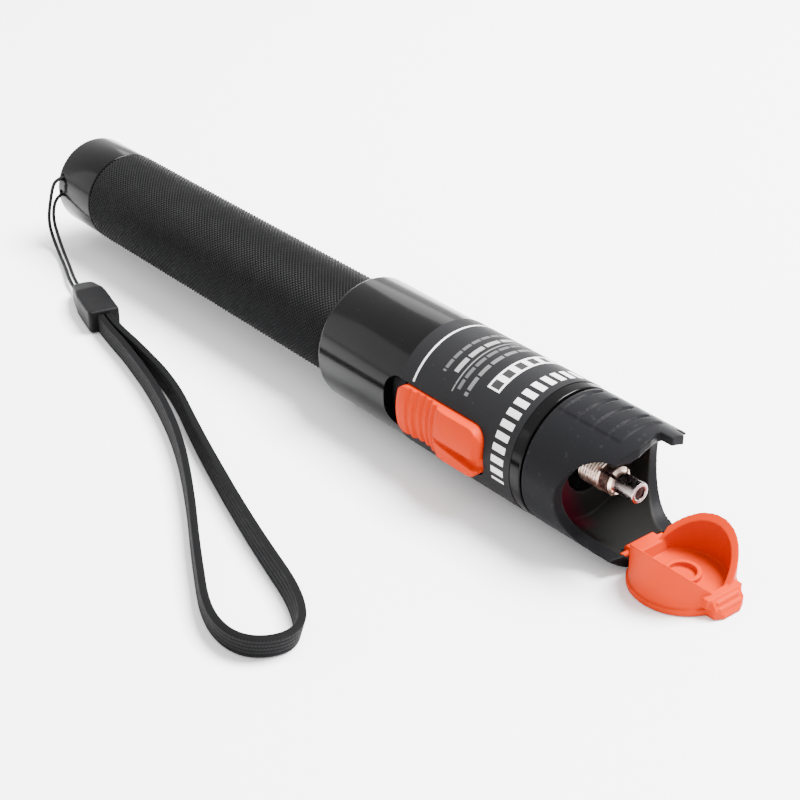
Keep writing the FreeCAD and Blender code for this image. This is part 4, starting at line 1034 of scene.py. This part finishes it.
@dataclass(frozen=True)
class Finishes:
    """Every finish of the pen, by the piece that wears it."""

    anodised: Material
    lacquer: Material
    head: Material
    film: Material
    orange: Material
    brass: Material
    steel: Material
    zirconia: Material
    glass: Material
    board: Material
    chip: Material
    pale_plastic: Material
    dark_plastic: Material
    jacket: Material
    rubber: Material
    soft: Material
    string: Material
    webbing: Material

    @classmethod
    def mixed(cls) -> "Finishes":
        """Make every material once.

        Returns:
            The finishes.
        """
        crest = -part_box("grip_tube")[0].z + Grip.crest_rise
        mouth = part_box("ferrule_sleeve")[1].x
        finishes = (
            Anodised(
                "anodised_grip", (0.0052, 0.0052, 0.0054), (0.014, 0.014, 0.0145),
                root_radius=crest - Grip.depth, crest_radius=crest),
            Lacquer("black_lacquer", (0.0015, 0.0015, 0.0016)),
            HeadMoulding(
                "head_moulding", (0.0076, 0.0076, 0.0084), (0.011, 0.011, 0.0105),
                painted_glow_colour=(0.05, 0.004, 0.01), painted_glow_front=mouth - 7.5 * MM,
                painted_glow_rear=mouth - 11.5 * MM, bore=-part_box("head_shroud")[0].z - Head.wall),
            cls._film(),
            Moulding(
                "orange_moulding", (0.43, 0.021, 0.0), (0.47, 0.03, 0.0),
                roughness=0.42, shine=0.035),
            TurnedMetal("turned_brass", (0.8, 0.62, 0.52), (0.62, 0.36, 0.28), roughness=0.24),
            TurnedMetal("turned_steel", (0.42, 0.35, 0.34), (0.3, 0.2, 0.19), roughness=0.2),
            Moulding("ground_zirconia", (0.16, 0.09, 0.085), (0.12, 0.06, 0.06), roughness=0.3),
            Glass("lens_glass"),
            Moulding("solder_mask", (0.01, 0.1, 0.035), (0.02, 0.14, 0.05), roughness=0.3),
            Moulding("chip_epoxy", (0.012, 0.012, 0.012), (0.03, 0.03, 0.03), roughness=0.6),
            Moulding("pale_moulding", (0.75, 0.74, 0.7), (0.65, 0.64, 0.6), roughness=0.45),
            Moulding("dark_moulding", (0.008, 0.008, 0.009), (0.02, 0.02, 0.021), roughness=0.45),
            CellJacket("cell_jacket", (0.03, 0.06, 0.14), (0.6, 0.55, 0.4)),
            Moulding("seal_rubber", (0.012, 0.012, 0.012), (0.03, 0.03, 0.03), roughness=0.7),
            Moulding(
                "soft_clip", (0.0034, 0.0034, 0.0037), (0.0062, 0.0062, 0.0065),
                roughness=0.5, rounding=0.3 * MM),
            Moulding(
                "waxed_string", (0.006, 0.006, 0.006), (0.02, 0.02, 0.02),
                roughness=0.5, grain=0.3 * MM, grain_depth=0.05 * MM),
            Woven(
                "woven_webbing", (0.0016, 0.0016, 0.0018), (0.013, 0.013, 0.0135),
                ribs=5.0, picks=9.0),
        )
        return cls(*(finish.material() for finish in finishes))

    @staticmethod
    def _film() -> PrintedFilm:
        """Lay out the film's plain print.

        Returns:
            The finish of the film.
        """
        label_low, label_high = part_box("label_wrap")
        rows = (
            Dashes(8.72 * MM, 9.52 * MM, 47.0, 118.0, 2.3 * MM, 0.1),
            Dashes(11.07 * MM, 12.17 * MM, 50.0, 125.0, 3.9 * MM, 0.35),
            Dashes(13.07 * MM, 13.37 * MM, 36.0, 135.0, 40.0 * MM, 0.2),
            Dashes(14.02 * MM, 14.82 * MM, 40.0, 128.0, 2.9 * MM, 0.1),
            Dashes(16.17 * MM, 17.07 * MM, 38.0, 122.0, 3.3 * MM, 0.15),
        )
        share = (0.18, 0.76)
        bars = Dashes(26.82 * MM, 30.02 * MM, -15.0, 140.0, 2.3 * MM, share=share)
        return PrintedFilm(
            "printed_film", (0.0105, 0.0105, 0.0112), (0.6, 0.6, 0.6),
            radius=label_high.z, rear=label_low.x, line=3.6 * MM, line_start=27.0,
            block=Dashes(19.72 * MM, 22.92 * MM, 53.0, 130.0, 3.0 * MM, 0.98, share),
            block_border=0.5 * MM, bands=(bars, *rows))


@dataclass(frozen=True)
class Studio:
    """The table, the soft lights and the camera."""

    camera_place: Point = (0.17637, -0.198, 0.1675)
    camera_aim: Point = (-0.6729, 0.5505, -0.4942)
    lens: float = 80.8
    sensor: float = 36.0
    near_clip: float = 0.01
    lamp_aim: Point = (-0.08, 0.0, 0.0)
    paper: Colour = (0.93, 0.93, 0.935)
    floor_size: float = 6.0
    room_strength: float = 2.0
    lamps: tuple[tuple[str, Point, float, float], ...] = (
        ("top_light", (0.15, 0.5, 1.0), 0.6, 92.0),
        ("back_light", (-0.8, 0.62, 0.46), 0.35, 1.6),
        ("side_light", (-0.82, -0.72, 0.32), 0.6, 2.6),
    )

    def build(self) -> None:
        """Set up the table, lights and camera."""
        self._camera()
        self._table()
        self._lights()
        LOG.info("studio ready")

    def _camera(self) -> None:
        """Place the camera and make it the scene's."""
        data = bpy.data.cameras.new("camera")
        data.lens = self.lens
        data.sensor_width = self.sensor
        data.clip_start = self.near_clip
        camera = bpy.data.objects.new("camera", data)
        camera.location = self.camera_place
        camera.rotation_euler = Vector(self.camera_aim).to_track_quat("-Z", "Y").to_euler()
        bpy.context.scene.collection.objects.link(camera)
        bpy.context.scene.camera = camera

    def _table(self) -> None:
        """Lay the table top at the pen's lowest point."""
        level = CAD_BOX[0].z
        half = self.floor_size / 2
        corners = [(x * half, y * half, level) for x, y in ((-1, -1), (1, -1), (1, 1), (-1, 1))]
        mesh = bpy.data.meshes.new("table_top")
        mesh.from_pydata(corners, [], [(0, 1, 2, 3)])
        paper = TableTop("table_paper", self.paper).material()
        new_piece("table_top", mesh, paper)

    def _lights(self) -> None:
        """Hang soft boxes round the pen and light the room evenly."""
        world = bpy.data.worlds.new("room")
        world.use_nodes = True
        background = world.node_tree.nodes["Background"]
        background.inputs["Color"].default_value = (1.0, 1.0, 1.0, 1.0)
        background.inputs["Strength"].default_value = self.room_strength
        bpy.context.scene.world = world
        for name, place, size, power in self.lamps:
            self._soft_box(name, place, size, power)

    def _soft_box(self, name: str, place: Point, size: float, power: float) -> None:
        """Hang one soft box that faces the pen.

        Args:
            name: The lamp's name.
            place: Where it hangs.
            size: The side of its square face.
            power: Its power in watts.
        """
        lamp = bpy.data.lights.new(name, "AREA")
        lamp.size = size
        lamp.energy = power
        box = bpy.data.objects.new(name, lamp)
        box.location = place
        toward = Vector(self.lamp_aim) - Vector(place)
        box.rotation_euler = toward.to_track_quat("-Z", "Y").to_euler()
        bpy.context.scene.collection.objects.link(box)


def route_curve(name: str, points: Sequence[Point], smoothness: int = 12) -> Object:
    """Make a smooth open curve that a cord follows.

    Args:
        name: The curve's name.
        points: Its control points in millimetres.
        smoothness: Divisions between control points.

    Returns:
        The curve object.
    """
    curve = bpy.data.curves.new(name, "CURVE")
    curve.dimensions = "3D"
    curve.resolution_u = smoothness
    spline = curve.splines.new("NURBS")
    spline.points.add(len(points) - 1)
    for handle, point in zip(spline.points, points):
        handle.co = (*(part * MM for part in point), 1.0)
    spline.order_u = 3
    spline.use_endpoint_u = True
    holder = bpy.data.objects.new(name, curve)
    bpy.context.scene.collection.objects.link(holder)
    return holder


def followed(curve: Object) -> list[Vector]:
    """Read a curve that has no bevel, and drop it.

    Args:
        curve: The curve.

    Returns:
        The points along it, in metres.
    """
    mesh = bpy.data.meshes.new_from_object(curve)
    points = [vertex.co.copy() for vertex in mesh.vertices]
    bpy.data.meshes.remove(mesh)
    bpy.data.objects.remove(curve)
    return points


def length_of(line: Sequence[Vector]) -> float:
    """Return the length of a line through points."""
    return sum((after - before).length for before, after in zip(line, line[1:]))


@dataclass(frozen=True)
class Lanyard:
    """The string, its soft clip and the woven wrist strap."""

    finishes: Finishes
    outer_strand: tuple[Point, ...] = (
        (2.0, -9.4, 3.8), (1.8, -11.6, 3.4), (0.7, -12.1, 1.2), (0.2, -12.6, -1.8),
        (0.1, -13.3, -4.8), (0.7, -13.9, -7.9), (3.6, -14.6, -10.6), (9.1, -16.3, -12.0),
        (16.4, -19.0, -11.9),
    )
    inner_strand: tuple[Point, ...] = (
        (2.0, -9.4, 0.0), (1.9, -11.7, -0.7), (1.9, -13.0, -3.3), (2.6, -13.6, -6.3),
        (4.5, -13.9, -9.2), (9.4, -15.4, -11.4), (16.6, -18.0, -11.7),
    )
    strap_route: tuple[tuple[float, float], ...] = (
        (63.9, -31.5), (81.9, -36.2), (100.9, -43.2), (118.4, -52.2), (134.9, -61.9),
        (150.9, -70.6), (161.8, -70.6), (165.6, -62.4), (157.4, -56.6), (139.9, -51.9),
        (120.4, -45.9), (101.4, -39.5), (82.4, -32.2), (64.2, -29.0),
    )
    clamp_end: tuple[float, float] = (48.04, -27.4)
    clamp_turn: float = -13.5
    clamp_length: float = 19.6
    clamp_nose_height: float = 2.6
    string_radius: float = 0.4
    string_spread: float = 0.6
    string_lead: float = 5.0
    strap_height: float = 4.4
    strap_thickness: float = 1.4
    strap_spread: float = 0.9
    strap_lead: float = 5.5
    strap_leans: tuple[tuple[float, float], ...] = (
        (0.0, 0.0), (0.2, -7.0), (0.4, -6.0), (0.52, 15.0), (0.7, 11.0), (1.0, 0.0),
    )
    nose_waist: float = 0.36
    nose_shift: float = -0.7 * MM
    nose_reach: float = 1.1 * MM
    clip_voxel: float = 0.28 * MM
    clip_passes: int = 30
    strap_steps: int = 14
    strap_edge_share: float = 0.45
    strap_edge_steps: int = 4
    string_facets: int = 3

    def build(self) -> None:
        """Build the cords and the clip."""
        clip = self._clip()
        nose = -self.clamp_length
        middle = self._ground() + self.clamp_nose_height / 2
        for name, points, side in (
            ("string_strand_outer", self.outer_strand, -self.string_spread),
            ("string_strand_inner", self.inner_strand, self.string_spread),
        ):
            route = [self._from_tail(point) for point in points]
            route.append(self._at_clamp(nose - self.string_lead, side, middle))
            route.append(self._at_clamp(nose, side, middle))
            self._strand(name, route, [clip] if side < 0 else [])
        self._strap()

    @staticmethod
    def _ground() -> float:
        """Return the level that the lanyard lies on, in millimetres."""
        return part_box("lanyard_clamp")[0].z / MM

    @staticmethod
    def _from_tail(point: Point) -> Point:
        """Return a point that is measured from the pen's rear end, in millimetres."""
        return (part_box("tail_cap")[0].x / MM + point[0], point[1], point[2])

    def _at_clamp(self, along: float, across: float, height: float) -> Point:
        """Place a point that is given in the clamp's own frame.

        Args:
            along: Distance from the clamp's strap end, toward the strap.
            across: Distance to the left of the clamp's middle.
            height: The level above the pen's axis.

        Returns:
            The point in the frame, in millimetres.
        """
        turn = math.radians(self.clamp_turn)
        east, north = math.cos(turn), math.sin(turn)
        return self._from_tail((
            self.clamp_end[0] + along * east - across * north,
            self.clamp_end[1] + along * north + across * east,
            height,
        ))

    def _clip(self) -> Object:
        """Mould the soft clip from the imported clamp, tapered toward its nose.

        Returns:
            The clip.
        """
        blank = node_mesh("lanyard_clamp")
        end = Vector(self._at_clamp(0, 0, 0)) * MM
        along = Vector(self._at_clamp(-self.clamp_length, 0, 0)) * MM - end
        across = Vector((-along.y, along.x, 0)).normalized()
        for vertex in blank.vertices:
            arm = vertex.co - end
            share = arm.dot(along) / along.length_squared
            aside = arm.dot(across)
            if share > 0:
                taper = share * share
                vertex.co += across * (self.nose_shift - aside * self.nose_waist) * taper
                vertex.co += along.normalized() * (self.nose_reach * taper)
        mesh = remeshed("lanyard_clip", [blank], self.clip_voxel, self.clip_passes)
        wear = self.finishes.soft
        return seat("lanyard_clip", mesh, wear, Body.TAIL_CAP, "lanyard_clamp", "soft_black")

    def _strand(self, name: str, route: Sequence[Point], on_it: list[Object]) -> None:
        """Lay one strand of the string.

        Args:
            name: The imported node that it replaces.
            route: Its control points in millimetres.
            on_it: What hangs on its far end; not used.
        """
        length = length_of(followed(route_curve("guide", route)))
        strand = route_curve(f"{name}_cord", route)
        strand.data.bevel_depth = self.string_radius * MM
        strand.data.bevel_resolution = self.string_facets
        strand.data.use_fill_caps = True
        strand.data.materials.append(self.finishes.string)
        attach(strand, Body.TAIL_CAP.value)
        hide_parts(name)
        tuple(part * MM for part in route[0])
        2 * self.string_radius * MM
        LOG.info("%s: %.1f mm", name, length / MM)

    def _strap(self) -> None:
        """Weave the strap as a band that follows its route."""
        level = self._ground() + self.strap_height / 2
        spread, lead = self.strap_spread, self.strap_lead
        route = [self._at_clamp(0, -spread, level), self._at_clamp(lead, -spread, level)]
        route += [self._from_tail((x, y, level)) for x, y in self.strap_route]
        route += [self._at_clamp(lead, spread, level), self._at_clamp(0, spread, level)]
        line = followed(route_curve("strap_guide", route, self.strap_steps))
        wear = self.finishes.webbing
        piece = seat(
            "wrist_strap_band", self._band(line), wear, Body.TAIL_CAP, "wrist_strap", "cord_black")
        length = length_of(line)
        tuple(line[0])
        self.strap_height * MM
        [tuple(point) for point in line]
        LOG.info("wrist_strap: %.1f mm", length / MM)

    def _band(self, line: Sequence[Vector]) -> Mesh:
        """Sweep the band's section along a line, leaning it as it goes.

        Args:
            line: The points along the middle of the band.

        Returns:
            The band's skin, with U across it and V along it.
        """
        wide = self.strap_height / 2 * MM
        thin = self.strap_thickness / 2 * MM
        edge = self.strap_edge_share * thin
        corners = ((-wide, -thin), (wide, -thin), (wide, thin), (-wide, thin))
        section = rounded([(*corner, edge) for corner in corners], self.strap_edge_steps)
        mesh = bpy.data.meshes.new("wrist_strap_band")
        work = bmesh.new()
        layer = work.loops.layers.uv.new("weave")
        rings = []
        travelled = 0.0
        whole = length_of(line)
        up = Vector((0.0, 0.0, 1.0))
        for index, point in enumerate(line):
            before = line[max(index - 1, 0)]
            after = line[min(index + 1, len(line) - 1)]
            forward = (after - before).normalized()
            travelled += (point - before).length
            side = forward.cross(up)
            lean = math.radians(smooth_through(self.strap_leans, travelled / whole))
            lift = wide * math.cos(lean) + thin * abs(math.sin(lean)) - wide
            face = up * math.cos(lean) + side * math.sin(lean)
            edge_on = side * math.cos(lean) - up * math.sin(lean)
            middle = point + up * lift + side * (wide * math.sin(lean))
            ring = [work.verts.new(middle + face * a + edge_on * b) for a, b in section]
            rings.append((ring, travelled / (2 * wide)))
        count = len(section)
        for (low, low_v), (high, high_v) in zip(rings, rings[1:]):
            for index in range(count):
                following = (index + 1) % count
                face = work.faces.new((low[index], low[following], high[following], high[index]))
                face.smooth = True
                spots = ((index, low_v), (following, low_v), (following, high_v), (index, high_v))
                for loop, (spot, v) in zip(face.loops, spots):
                    loop[layer].uv = (section[spot][0] / (2 * wide) + 0.5, v)
        work.faces.new(rings[0][0])
        work.faces.new(list(reversed(rings[-1][0])))
        bmesh.ops.recalc_face_normals(work, faces=work.faces)
        work.to_mesh(mesh)
        work.free()
        return mesh


@dataclass(frozen=True)
class Grip:
    """The knurled battery tube."""

    finishes: Finishes
    pitch_round: float = 0.85 * MM
    pitch_along: float = 1.0 * MM
    depth: float = 0.26 * MM
    crest_rise: float = 0.08 * MM
    seam: float = 0.05 * MM
    cell_to_bore: float = 1.9 * MM
    end_drop: float = 0.2 * MM

    def build(self) -> None:
        """Build the knurled skin with its pyramids."""
        low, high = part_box("grip_tube")
        rear = low.x + self.seam
        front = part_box("front_body")[0].x
        crest = high.z + self.crest_rise
        root = crest - self.depth
        end = root - self.end_drop
        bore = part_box("battery_front")[1].z + self.cell_to_bore
        columns = 2 * round(math.pi * 2 * crest / self.pitch_round)
        rows = 2 * round((front - rear) / self.pitch_along)
        rings = [(rear, bore, bore), (rear, end, end)]
        for row in range(1, rows):
            x = rear + (front - rear) * row / rows
            rings.append((x, crest, root) if row % 2 else (x, root, crest))
        rings += [(front, end, end), (front, bore, bore)]
        vertices = []
        for x, even, odd in rings:
            vertices += ring_points(x, [odd if column % 2 else even for column in range(columns)])
        faces = []
        for index, (a, b, c, d) in enumerate(ring_faces(len(rings), columns)):
            if (index // columns + index % columns) % 2:
                faces += [(a, b, c), (a, c, d)]
            else:
                faces += [(a, b, d), (b, c, d)]
        mesh = solid_mesh("knurled_grip", vertices, faces)
        wear = self.finishes.anodised
        seat("knurled_grip", mesh, wear, Body.HOUSING, "grip_tube", "anodised_tube")


@dataclass(frozen=True)
class FrontBody:
    """The lacquered front body, its film and the slot for the button."""

    finishes: Finishes
    bore: float = 11.0 * MM
    collar_bore: float = 9.93 * MM
    collar_length: float = 9.9 * MM
    rear_edge: float = 1.1 * MM
    front_edge: float = 0.35 * MM
    film_sink: float = 0.05 * MM
    button_travel: float = 3.6 * MM
    slot_play: float = 0.3 * MM
    slot_corner: float = 3.3 * MM
    cut_from: float = 8 * MM
    cut_to: float = 15 * MM
    corner_steps: int = 8
    turn_steps: int = 240

    def build(self) -> None:
        """Turn the tube and its film, and cut the slot."""
        low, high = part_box("front_body")
        collar = low.x + self.collar_length
        tube = rounded([
            (low.x, self.collar_bore, 0.0),
            (low.x, high.z, self.rear_edge),
            (high.x, high.z, self.front_edge),
            (high.x, self.bore, 0.0),
            (collar, self.bore, 0.0),
            (collar, self.collar_bore, 0.0),
        ])
        self._slotted("front_shell", tube, self.finishes.lacquer, "front_body", "black_lacquer")
        film_low, film_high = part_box("label_wrap")
        inner = high.z - self.film_sink
        film = [
            (film_low.x, inner), (film_low.x, film_high.z),
            (film_high.x, film_high.z), (film_high.x, inner),
        ]
        self._slotted("printed_wrap", film, self.finishes.film, "label_wrap", "label_film")

    def _slotted(
        self, name: str, profile: Outline, material: Material,
        node: str, slot: str,
    ) -> None:
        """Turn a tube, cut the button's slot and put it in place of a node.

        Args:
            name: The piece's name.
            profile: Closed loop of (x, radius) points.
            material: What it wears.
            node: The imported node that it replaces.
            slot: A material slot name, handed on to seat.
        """
        low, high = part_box("switch_button")
        rear = low.x - self.button_travel - self.slot_play
        front = high.x + self.slot_play
        half = high.z + self.slot_play
        corners = ((rear, -half), (front, -half), (front, half), (rear, half))
        outline = rounded([(*corner, self.slot_corner) for corner in corners], self.corner_steps)
        cutter = prism("slot_cutter", outline, self.cut_from, self.cut_to, toward_switch)
        mesh = carved(name, lathe(name, profile, self.turn_steps), [cutter])
        shade(mesh)
        seat(name, mesh, material, Body.HOUSING, node, slot)


@dataclass(frozen=True)
class SlideButton:
    """The orange slide button with its finger grooves and thumb channel.

    The crown, the grooves and the channel are in millimetres from the button's
    rear end, and heights are above the body.
    """

    finishes: Finishes
    corner: float = 3.0 * MM
    root: float = 10.5 * MM
    crown: tuple[tuple[float, float], ...] = (
        (0.0, 0.1), (0.8, 0.8), (1.8, 1.0), (4.2, 1.0), (7.5, 0.62), (9.5, 0.75),
        (11.5, 1.3), (13.5, 1.95), (15.0, 2.05), (21.0, 2.0), (23.2, 1.9), (24.0, 1.2), (24.3, 0.6),
    )
    grooves: tuple[float, ...] = (4.05, 5.95, 7.85, 9.75, 11.65)
    groove_depth: float = 0.42
    groove_half_width: float = 0.55
    groove_squareness: int = 4
    channel_start: float = 12.4
    channel_length: float = 12.0
    channel_middle: float = -0.9
    channel_drift: float = -1.0
    channel_half_width: float = 0.35
    channel_widening: float = 0.9
    channel_depth: float = 0.4
    channel_deepening: float = 1.1
    channel_steepness: float = 1.6
    channel_squareness: int = 6
    foot_inset: float = 3.2 * MM
    foot_half_width: float = 3.6 * MM
    foot_floor: float = 8.7 * MM
    foot_top: float = 10.8 * MM
    columns: int = 60
    rows: int = 150
    voxel: float = 0.13 * MM
    passes: int = 4

    def build(self) -> None:
        """Build the button's skin over its foot."""
        low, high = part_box("switch_button")
        foot_low, foot_high = low.x + self.foot_inset, high.x - self.foot_inset
        half = self.foot_half_width
        outline = [(foot_low, -half), (foot_high, -half), (foot_high, half), (foot_low, half)]
        crown = self._crown(low.x, high.x - low.x, high.z)
        foot = prism("foot", outline, self.foot_floor, self.foot_top, toward_switch)
        skin = remeshed("slide_button", [crown, foot], self.voxel, self.passes)
        wear = self.finishes.orange
        seat("slide_button", skin, wear, Body.SWITCH, "switch_button", "orange_plastic")

    def _crown(self, rear: float, length: float, half: float) -> Mesh:
        """Make the curved top of the button with a flat underside.

        Args:
            rear: Where the button starts.
            length: How long it is.
            half: Half its width.

        Returns:
            The closed mesh.
        """
        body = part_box("front_body")[1].z
        vertices = []
        for row in range(self.rows + 1):
            along = length * row / self.rows
            reach = min(along, length - along)
            inset = 0.0
            if reach < self.corner:
                inset = self.corner - math.sqrt(self.corner ** 2 - (self.corner - reach) ** 2)
            top, bottom = [], []
            for column in range(self.columns + 1):
                z = (half - inset) * (2 * column / self.columns - 1)
                radius = body + self._height(along / MM, z / MM) * MM
                top.append((rear + along, -math.sqrt(radius ** 2 - z ** 2), z))
                bottom.append((rear + along, -self.root, z))
            vertices += top + bottom[::-1]
        faces = ring_faces(self.rows + 1, 2 * (self.columns + 1), capped=True)
        return solid_mesh("slide_button", vertices, faces)

    def _height(self, along: float, up: float) -> float:
        """Work out the crown's height above the body.

        Args:
            along: Distance from the button's rear end.
            up: Distance above the button's middle.

        Returns:
            The height in millimetres.
        """
        height = smooth_through(self.crown, along)
        for groove in self.grooves:
            offset = abs(along - groove) / self.groove_half_width
            if offset < 1.0:
                height -= self.groove_depth * (1 - offset ** self.groove_squareness)
        share = (along - self.channel_start) / self.channel_length
        if share > 0.0:
            middle = self.channel_middle + share * self.channel_drift
            offset = abs(up - middle) / (self.channel_half_width + share * self.channel_widening)
            if offset < 1.0:
                fall = self.channel_deepening * min(share * self.channel_steepness, 1.0)
                height -= (self.channel_depth + fall) * (1 - offset ** self.channel_squareness)
        return height


@dataclass(frozen=True)
class Head:
    """The moulded head with its threaded collet and ferrule sleeve."""

    finishes: Finishes
    wall: float = 2.2 * MM
    voxel: float = 0.2 * MM
    passes: int = 4
    thread_pitch: float = 0.62 * MM
    thread_depth: float = 0.34 * MM
    thread_steps: int = 14
    thread_slope: float = 3.0
    columns: int = 96
    collet_play: float = 0.05 * MM
    petal_length: float = 2.7 * MM
    petal_step: float = 0.2 * MM
    petal_edge: float = 0.45 * MM
    slot_half_width: float = 0.35 * MM
    slot_root: float = 1.5 * MM
    slot_past: float = 1.0 * MM
    slot_reach: float = 4 * MM
    sharp_above: float = 40.0
    sleeve_bore: float = 1.62 * MM
    mouth_bore: float = 1.25 * MM
    mouth_depth: float = 0.6 * MM
    mouth_edge: float = 0.3 * MM
    mouth_inner_edge: float = 0.18 * MM

    def build(self) -> None:
        """Build the head, the threaded collet and the sleeve."""
        wear = self.finishes
        head = remeshed("moulded_head", [node_mesh("head_shroud")], self.voxel, self.passes)
        for name, mesh, material, node, slot in (
            ("moulded_head", head, wear.head, "head_shroud", "black_plastic"),
            ("collet_screw", self._collet(), wear.brass, "threaded_collet", "brass"),
            ("ferrule_tube", self._sleeve(), wear.steel, "ferrule_sleeve", "steel"),
        ):
            seat(name, mesh, material, Body.HOUSING, node, slot)

    def _collet(self) -> Mesh:
        """Cut the thread and the four petals of the collet.

        Returns:
            The collet's mesh.
        """
        low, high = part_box("threaded_collet")
        crest = high.z
        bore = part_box("ferrule_sleeve")[1].z + self.collet_play
        petal = crest - self.petal_step
        shoulder = high.x - self.petal_length
        rows = int((shoulder - low.x) / self.thread_pitch * self.thread_steps)
        vertices = []
        for row in range(rows + 1):
            x = low.x + (shoulder - low.x) * row / rows
            shares = [(x / self.thread_pitch - c / self.columns) % 1.0 for c in range(self.columns)]
            drops = [min(abs(share - 0.5) * self.thread_slope, 1.0) for share in shares]
            vertices += ring_points(x, [crest - self.thread_depth * drop for drop in drops])
        plain = (
            (shoulder, petal), (high.x - self.petal_edge, petal), (high.x, petal - self.petal_edge),
            (high.x, bore), (low.x, bore),
        )
        for x, radius in plain:
            vertices += ring_points(x, [radius] * self.columns)
        faces = ring_faces(rows + 1 + len(plain), self.columns)
        screw = solid_mesh("collet_screw", vertices, faces)
        cutters = [self._slot_cutter(shoulder, high.x, quarter * math.pi / 4) for quarter in (1, 3)]
        result = carved("collet_screw", screw, cutters)
        shade(result, self.sharp_above)
        return result

    def _slot_cutter(self, shoulder: float, front: float, turn: float) -> Mesh:
        """Make the blade that cuts two slots between the petals.

        Args:
            shoulder: Where the petals start.
            front: Where they end.
            turn: The blade's angle round the axis.

        Returns:
            The blade.
        """
        across, up = math.cos(turn), math.sin(turn)
        half = self.slot_half_width
        start, end = shoulder - self.slot_root, front + self.slot_past
        return prism(
            "petal_cutter", [(start, -half), (end, -half), (end, half), (start, half)],
            -self.slot_reach, self.slot_reach,
            lambda x, wide, deep: (x, wide * across - deep * up, wide * up + deep * across))

    def _sleeve(self) -> Mesh:
        """Turn the ferrule sleeve with a softly broken mouth.

        Returns:
            The sleeve's mesh.
        """
        low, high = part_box("ferrule_sleeve")
        lip = high.x - self.mouth_depth
        profile = rounded([
            (low.x, self.sleeve_bore, 0.0),
            (low.x, high.z, 0.0),
            (high.x, high.z, self.mouth_edge),
            (high.x, self.mouth_bore, self.mouth_inner_edge),
            (lip, self.mouth_bore, 0.0),
            (lip, self.sleeve_bore, 0.0),
        ])
        mesh = lathe("ferrule_tube", profile, self.columns)
        shade(mesh)
        return mesh


@dataclass(frozen=True)
class DustCap:
    """The hinged orange dust cap."""

    finishes: Finishes
    voxel: float = 0.14 * MM
    passes: int = 4

    def build(self) -> None:
        """Mould the cap with soft edges."""
        mesh = remeshed("hinged_cap", [node_mesh("dust_cap")], self.voxel, self.passes)
        seat("hinged_cap", mesh, self.finishes.orange, Body.DUST_CAP, "dust_cap", "orange_plastic")


@dataclass(frozen=True)
class TailCap:
    """The lacquered tail cap with its dished end and string holes."""

    finishes: Finishes
    recess_radius: float = 8.2 * MM
    recess_depth: float = 3.0 * MM
    recess_edge: float = 0.6 * MM
    end_wall: float = 2.0 * MM
    bore: float = 7.65 * MM
    spigot_radius: float = 9.05 * MM
    spigot_edge: float = 0.4 * MM
    outer_edge: float = 1.0 * MM
    shoulder_edge: float = 0.35 * MM
    seam: float = 0.05 * MM
    hole_radius: float = 0.8 * MM
    hole_setback: float = 2.0 * MM
    hole_heights: tuple[float, ...] = (0.0, 3.7 * MM)
    hole_steps: int = 20
    drill_from: float = 7 * MM
    drill_to: float = 12 * MM
    turn_steps: int = 200

    def build(self) -> None:
        """Turn the cap and drill the holes for the string."""
        low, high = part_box("tail_cap")
        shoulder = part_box("grip_tube")[0].x - self.seam
        recess = low.x + self.recess_depth
        inner = recess + self.end_wall
        profile = rounded([
            (recess, 0.0, 0.0),
            (recess, self.recess_radius, self.recess_edge),
            (low.x, self.recess_radius, self.recess_edge),
            (low.x, high.z, self.outer_edge),
            (shoulder, high.z, self.shoulder_edge),
            (shoulder, self.spigot_radius, 0.0),
            (high.x, self.spigot_radius, self.spigot_edge),
            (high.x, self.bore, 0.0),
            (inner, self.bore, 0.0),
            (inner, 0.0, 0.0),
        ])
        turns = [2 * math.pi * step / self.hole_steps for step in range(self.hole_steps)]
        middle = low.x + self.hole_setback
        cutters = []
        for height in self.hole_heights:
            circle = [
                (middle + self.hole_radius * math.cos(turn), height + self.hole_radius * math.sin(turn))
                for turn in turns
            ]
            cutters.append(
                prism("string_hole", circle, self.drill_from, self.drill_to, toward_switch))
        mesh = carved("tail_end", lathe("tail_end", profile, self.turn_steps), cutters)
        shade(mesh)
        wear = self.finishes.lacquer
        seat("tail_end", mesh, wear, Body.TAIL_CAP, "tail_cap", "black_lacquer")


@dataclass(frozen=True)
class Insides:
    """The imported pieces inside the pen, which keep their shapes."""

    finishes: Finishes

    def build(self) -> None:
        """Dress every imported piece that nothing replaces."""
        wear = self.finishes
        dressed = (
            (wear.rubber, ("front_seal_ring", "tail_seal_ring")),
            (wear.steel, ("tail_spring", "slide_switch", "laser_diode")),
            (wear.jacket, ("battery_front", "battery_rear")),
            (wear.brass, ("contact_plate",)),
            (wear.pale_plastic, ("contact_insulator", "switch_lever")),
            (wear.dark_plastic, ("board_carrier", "switch_bed")),
            (wear.board, ("circuit_board",)),
            (wear.chip, ("driver_chip", "power_inductor")),
            (wear.lacquer, ("laser_holder",)),
            (wear.glass, ("collimator_lens",)),
            (wear.zirconia, ("split_sleeve",)),
        )
        for material, nodes in dressed:
            for node in nodes:
                dress(node, material)
            LOG.info("dressed %s", ", ".join(nodes))


def main() -> None:
    """Build the scene in order."""
    logging.basicConfig(level=logging.INFO, format="%(name)s: %(message)s")
    finishes = Finishes.mixed()
    Studio().build()
    Lanyard(finishes).build()
    Grip(finishes).build()
    FrontBody(finishes).build()
    SlideButton(finishes).build()
    Head(finishes).build()
    DustCap(finishes).build()
    TailCap(finishes).build()
    Insides(finishes).build()


if __name__ == "__main__":
    main()
